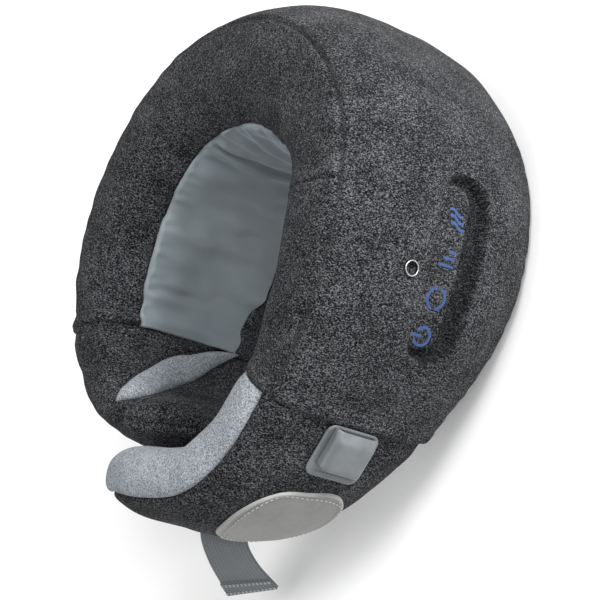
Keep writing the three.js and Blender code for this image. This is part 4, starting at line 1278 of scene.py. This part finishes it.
def label_patch():
    count = 13 * FINE + 1
    a, b = np.meshgrid(np.linspace(-1, 1, count), np.linspace(-1, 1, count), indexing="ij")
    ra, rb = rounded_square(a, b)
    s, angle = label_place((ra + 1) / 2, (rb + 1) / 2)
    base = skin(s, angle, ARM_STEP)
    normal = grid_normals(base, core_line(s))
    rim_line = np.concatenate([base[0], base[1:, -1], base[-1, -2::-1], base[-2:0:-1, 0]])
    flat = base.reshape(-1, 3)
    nearest = np.min([((flat - p) ** 2).sum(1) for p in rim_line], axis=0)
    edge = np.sqrt(nearest).reshape(base.shape[:2])
    lift = 1.25 + 0.42 * bump(edge - LABEL_RIM * 0.55, 0.95) - 0.28 * bump(edge - 3.6, 0.5)
    lift -= 0.9 * round_over(edge / 0.7)
    x, across = arc_along(base[:, count // 2])[:, None] + 0 * edge, arc_across(base)
    lift += 0.12 * wobble(x, across, 81, 26)
    outer = base + normal * lift[..., None]
    inner = (base + normal * 0.2)[::FINE, ::FINE]
    points, faces = cloth_shell(outer, inner)
    piece = new_piece("stitched_label", points, faces, LABEL)
    piece.data.materials.append(LABEL_EDGE)
    rim = edge < LABEL_RIM
    flags = np.concatenate([rim.ravel(), np.ones(inner.shape[0] * inner.shape[1], bool)])
    for polygon in piece.data.polygons:
        if all(flags[v] for v in polygon.vertices):
            polygon.material_index = 1
    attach(piece, "right_arm")
    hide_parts("label_patch")

    inset = 0.85
    turn = np.linspace(-1, 1, 60)
    ones = np.ones(60)
    path_a = np.concatenate([ones, turn[::-1], -ones, turn]) * inset
    path_b = np.concatenate([turn, ones, turn[::-1], -ones]) * (inset - 0.02)
    ra, rb = rounded_square(path_a, path_b)
    s, angle = label_place((ra + 1) / 2, (rb + 1) / 2)
    line = skin(s, angle, ARM_STEP - 1.42)
    row = stitch_row("label_stitches", line, 2.9, 2.0, 0.75, GREY_THREAD, closed=True)
    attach(row, "right_arm")


label_patch()


# ---------------------------------------------------------------- keeper
KEEPER = {
    "station": 3.18, "z": 74, "width": 27, "length": 26, "base": 1.4, "rise": 6.2, "wall": 1.4, "out": 1.1}


def keeper_frame():
    centre, half, _, _, tangent, out = along(np.array(KEEPER["station"]))
    origin = np.array([*(centre + out * (half - ARM_STEP + KEEPER["out"])), KEEPER["z"]])
    return origin, np.array([*tangent, 0]), np.array([*out, 0])


def on_keeper(points):
    """Local x along the arm, y out of it and z up, into the cushion's frame."""
    origin, forward, out = keeper_frame()
    points = np.asarray(points, float)
    return origin + points[..., :1] * forward + points[..., 1:2] * out + points[..., 2:] * np.array([0, 0, 1])


def closed_loft(rows, capped=True):
    """Faces for closed loops of points: sides, and fans over the two ends."""
    rows = np.asarray(rows, float)
    count, around = rows.shape[:2]
    index = np.arange(count * around).reshape(count, around)
    after = np.roll(index, -1, axis=1)
    faces = np.stack([index[:-1], after[:-1], after[1:], index[1:]], -1).reshape(-1, 4).tolist()
    points = rows.reshape(-1, 3)
    if capped:
        for end, flip in ((0, True), (count - 1, False)):
            pole = len(points)
            points = np.vstack([points, rows[end].mean(0)])
            for a, b in zip(index[end], after[end]):
                faces.append([int(b), int(a), pole] if flip else [int(a), int(b), pole])
    return points, faces


def rounded_plate(length, width, radius, low, high, soft):
    """A plate with rounded corners and softened edges, as loops from its underside to its top."""
    turn = np.linspace(0, 2 * math.pi, 96, endpoint=False)
    c, d = np.cos(turn), np.sin(turn)

    def loop(shrink, y):
        r = max(radius - shrink, 0.4)
        x = np.sign(c) * (length / 2 - shrink - r) + r * c
        z = np.sign(d) * (width / 2 - shrink - r) + r * d
        return np.stack([x, np.full_like(x, y), z], -1)

    rows = [loop(length * 0.3, low), loop(soft, low), loop(soft * 0.3, low + soft * 0.3)]
    rows.append(loop(0, (low + high) / 2))
    rows += [loop(soft * 0.3, high - soft * 0.3), loop(soft, high), loop(soft + 0.9, high + 0.12)]
    rows += [loop(soft + 1.9, high - 0.06), loop(length * 0.3, high - 0.06)]
    return rows


def keeper():
    k = KEEPER
    rows = rounded_plate(k["length"] + 3.5, k["width"] + 6, 5.0, 0.15, k["base"], 0.4)
    points, faces = closed_loft([on_keeper(r + (0.75, 0, 0)) for r in rows])
    base = new_piece("keeper_base_plate", points, faces, COATED)
    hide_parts("keeper_base")

    # the band: a profile across the arm, drawn as its outer line and back along its inner one
    half, radius, thick = k["width"] / 2 - 0.8, 4.6, k["wall"]
    top = k["rise"] + thick

    def profile(grow, lower):
        w, h, r = half + grow, top + grow, radius + grow
        turn = np.radians(np.linspace(180, 90, 14))
        left = np.stack([-w + r + r * np.cos(turn), h - r + r * np.sin(turn)], -1)
        right = np.stack([-left[::-1, 0], left[::-1, 1]], -1)
        middle = np.stack([np.linspace(left[-1, 0], right[0, 0], 14)[1:-1], np.full(12, h)], -1)
        middle[:, 1] += 0.35 * (1 - (middle[:, 0] / half) ** 2)
        feet = [(-w, y) for y in np.linspace(lower, h - r, 6)[:-1]]
        return np.array([*feet, *left, *middle, *right, *[(-x, y) for x, y in feet[::-1]]])

    rows = []
    ends = [(-1.0, 0.55), (-0.99, 0.2), (-0.95, 0.03), (-0.9, 0.0)]
    stations = [*ends, *[(x, 0.0) for x in np.linspace(-0.8, 0.8, 15)], *[(-x, g) for x, g in ends[::-1]]]
    length = k["length"] / 2 - 2
    for x, shrink in stations:
        outer = profile(-shrink, 0.1)
        inner = profile(-thick + shrink * 0.6, 0.1)
        loop = np.concatenate([outer, inner[::-1]])
        dip = 1 - 0.42 * smooth(-x, 0.5, 1.05) - 0.06 * smooth(x, 0.8, 1.0)
        place = np.full(len(loop), x * length - 2.4)
        rows.append(np.stack([place, k["base"] + loop[:, 1] * dip, loop[:, 0]], -1))
    grid = np.array([on_keeper(r) for r in rows])
    count, around = grid.shape[:2]
    points, faces = closed_loft(grid, capped=False)
    half_way = around // 2
    last = (count - 1) * around
    for j in range(half_way - 1):
        mate = around - 1 - j
        faces.append([j, mate, mate - 1, j + 1])
        faces.append([last + j, last + j + 1, last + mate - 1, last + mate])
    band = new_piece("keeper_arch", points, faces, COATED)
    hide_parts("keeper_band")
    for piece in (base, band):
        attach(piece, "right_arm")
    reach = k["width"] / 2 - 1
    ends = {"keeper_stitches_front": k["length"] / 2 - 0.6, "keeper_stitches_rear": -k["length"] / 2 + 0.1}
    for name, x in ends.items():
        line = on_keeper([(x, k["base"] + 0.1, z) for z in np.linspace(-reach, reach, 12)])
        row = stitch_row(name, line, 2.4, 1.7, 0.5, TRIM_THREAD)
        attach(row, "right_arm")


keeper()


# ---------------------------------------------------------------- strap and hook tape
STRAP = {
    "station": 4.64, "angle": -62, "inset": -2.2, "width": 30, "thickness": 1.6, "fold": 0.8, "tilt": 22,
    "twist": 22}
STRAP_LINE = [(0, 0), (8.5, -5), (18.5, -20), (28.8, -43)]
STRAP_TUCK = 4.5


def strap():
    tangent, out = along(np.array(STRAP["station"]))[4:]
    root = skin(STRAP["station"], STRAP["angle"], STRAP["inset"])
    rows, columns = 19, 9
    t = np.linspace(0, 1, rows * FINE + 1)
    side = curve_through([(-STRAP_TUCK, 1.6), *STRAP_LINE], 500)
    length = np.append(0, np.cumsum(np.linalg.norm(np.diff(side, axis=0), axis=1)))
    side = np.stack([np.interp(t * length[-1], length, side[:, k]) for k in (0, 1)], -1)
    direction = np.gradient(side, axis=0)
    direction /= np.linalg.norm(direction, axis=1, keepdims=True)
    normal = np.stack([-direction[:, 1], direction[:, 0]], -1)
    x = np.linspace(-1, 1, columns * FINE + 1)
    far = t * length[-1]
    # the tucked part lies inside the arm's cloth, before the strap's root
    from_root = np.clip((far - STRAP_TUCK) / (length[-1] - STRAP_TUCK), 0, 1)
    folded = smooth(t, STRAP["fold"] - 0.006, STRAP["fold"] + 0.006)
    half = STRAP["thickness"] / 2
    ribs = 0.1 * np.cos(x * math.pi * 13)
    picks = 0.09 * np.cos(far[:, None] * 2 * math.pi / 1.9 + (x[None, :] * 13 + 0.5) * math.pi)
    rounding = np.sqrt(np.clip(1 - (np.clip((np.abs(x) - 0.95) / 0.05, 0, 1)) ** 2, 0, 1))
    end = np.sqrt(np.clip(1 - np.clip((t - 0.985) / 0.015, 0, 1) ** 2, 0, 1))

    # the root rises towards the arm's tip, and the strap twists a little on its way to its end
    tilt, twist = math.radians(STRAP["tilt"]), np.radians(STRAP["twist"]) * from_root[:, None]
    up = np.array([0, 0, 1])
    forward = math.cos(tilt) * np.array([*tangent, 0]) + math.sin(tilt) * up
    outward = np.array([*out, 0])
    upward = np.cross(forward, outward)
    facing = normal[:, :1] * outward + normal[:, 1:] * upward
    lateral_way = np.cos(twist) * forward + np.sin(twist) * facing
    facing = np.cos(twist) * facing - np.sin(twist) * forward
    centre_line = root + side[:, :1] * outward + side[:, 1:] * upward

    def face(height):
        selvedge = 1 + 0.008 * np.cos(far * 2 * math.pi / 1.9)[:, None] * (np.abs(x) > 0.96)
        lateral = x[None, :] * STRAP["width"] / 2 * selvedge
        return (centre_line[:, None, :] + lateral[..., None] * lateral_way[:, None, :]
                + height[..., None] * facing[:, None, :])

    soft = rounding[None, :] * end[:, None]
    high = (half - 0.05 + folded[:, None] * half * 1.7 + ribs[None, :] + picks) * soft
    low = -(half - 0.05 + ribs[None, :]) * soft
    outer, under = face(high), face(low)
    uv = np.stack([0 * far[:, None] + x[None, :] * STRAP["width"] / 2, far[:, None] + 0 * x[None, :]], -1)
    points, faces, _ = two_sided(outer, under)
    piece = new_piece("ribbed_strap", points, faces, WEBBING, np.tile(uv.reshape(-1, 2), (2, 1)))
    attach(piece, "strap")
    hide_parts("webbing_strap")
    for name, share in (("strap_stitches_near", 0.83), ("strap_stitches_far", 0.955)):
        row = int(share * rows * FINE)
        for suffix, step in (("a", 0), ("b", 2)):
            line = outer[row + step, 2:-2] + 0.12 * facing[row]
            stitches = stitch_row(f"{name}_{suffix}", line, 2.3, 1.7, 0.62, PALE_THREAD)
            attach(stitches, "strap")


def hook_tape():
    u, v = np.meshgrid(np.linspace(0, 1, 13), np.linspace(0, 1, 37), indexing="ij")
    s, angle = 4.84 + 0.07 * u, -85 + 45 * v
    top, under = skin(s, angle, 0.35), skin(s, angle, ARM_STEP - 0.35)
    points, faces, quads = two_sided(top, under)
    tape = new_piece("hook_tape_back", points, faces, HOOK_NYLON)
    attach(tape, "right_arm")
    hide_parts("hook_tape")
    outward = quads if volume_of(tape.data) > 0 else quads[:, ::-1]
    hooks = grown_from("tape_hooks", top.reshape(-1, 3), [], outward.tolist(), HOOKS,
                       {"Height": 1.1 * MM, "Seed": 5, "Nylon": HOOK_NYLON})
    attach(hooks, "right_arm")


strap()
hook_tape()


# ---------------------------------------------------------------- charging inlet's ring
def inlet_ring():
    tangent, out = along(np.array(JACK_STATION))[4:]
    centre = wall(JACK_STATION, JACK_Z, 0.0)
    section = [
        (3.5, -1.6), (3.5, 0.1), (3.62, 0.3), (3.85, 0.38), (4.1, 0.3), (4.25, 0.0), (4.25, -1.2), (4.0, -1.6)]
    rows = []
    for turn in np.linspace(0, 2 * math.pi, 64, endpoint=False):
        along_wall, up = math.cos(turn), math.sin(turn)
        rows.append([centre + r * (along_wall * np.array([*tangent, 0]) + up * np.array([0, 0, 1]))
                     + h * np.array([*out, 0]) for r, h in section])
    grid = np.array(rows)
    index = np.arange(grid.shape[0] * grid.shape[1]).reshape(grid.shape[:2])
    after, beside = np.roll(index, -1, axis=0), np.roll(index, -1, axis=1)
    both = np.roll(after, -1, axis=1)
    faces = np.stack([index, after, both, beside], -1).reshape(-1, 4).tolist()
    piece = new_piece("inlet_ring", grid.reshape(-1, 3), faces, CHROME)
    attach(piece, "cushion")
    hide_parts("jack_ring")


inlet_ring()


# ---------------------------------------------------------------- finishes of the pieces inside
INSIDE = {
    "main_foam": FOAM, "heater_film": HEATER, "chassis_plate": BLACK_PLASTIC, "battery_holder": BLACK_PLASTIC,
    "right_battery_cell": CELL_WRAP, "left_battery_cell": CELL_WRAP, "main_board": CIRCUIT, "key_board": CIRCUIT,
    "dc_jack": BLACK_PLASTIC}
for side in ("right", "left"):
    INSIDE.update({
        f"{side}_gearbox_front": GREY_PLASTIC, f"{side}_gearbox_rear": GREY_PLASTIC, f"{side}_motor": STEEL,
        f"{side}_worm_wheel": WHITE_PLASTIC, f"{side}_worm": BRASS, f"{side}_shaft_bush": BRASS,
        f"{side}_output_shaft": STEEL, f"{side}_rotor_screw": STEEL, f"{side}_rotor_arm": BLACK_PLASTIC,
        f"{side}_upper_node": BLACK_PLASTIC, f"{side}_lower_node": BLACK_PLASTIC})
for node, material in INSIDE.items():
    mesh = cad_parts[node].data
    mesh.materials.clear()
    mesh.materials.append(material)


# ---------------------------------------------------------------- floor and light
def studio():
    floor = bpy.data.meshes.new("floor")
    reach = 6.0
    corners = [(-reach, -reach, 0), (reach, -reach, 0), (reach, reach, 0), (-reach, reach, 0)]
    floor.from_pydata(corners, [], [(0, 1, 2, 3)])
    floor.materials.append(pale_floor())
    stage = bpy.data.objects.new("floor", floor)
    stage.location.z = -0.0004
    bpy.context.scene.collection.objects.link(stage)

    world = bpy.data.worlds.new("studio")
    world.use_nodes = True
    sky = world.node_tree.nodes["Background"].inputs
    sky["Color"].default_value = (1, 1, 1, 1)
    sky["Strength"].default_value = 0.68
    bpy.context.scene.world = world
    for name, place, size, power in (
            ("key_light", (1.2, 1.0, 0.22), 0.7, 38), ("top_light", (-0.1, -0.3, 1.7), 1.4, 8),
            ("high_light", (1.0, 0.75, 1.35), 0.7, 20)):
        data = bpy.data.lights.new(name, "AREA")
        data.size = size
        data.energy = power
        light = bpy.data.objects.new(name, data)
        light.location = place
        light.rotation_mode = "QUATERNION"
        light.rotation_quaternion = (AIM - Vector(place)).to_track_quat("-Z", "Y")
        bpy.context.scene.collection.objects.link(light)
    bpy.context.scene.view_settings.view_transform = "Standard"


studio()
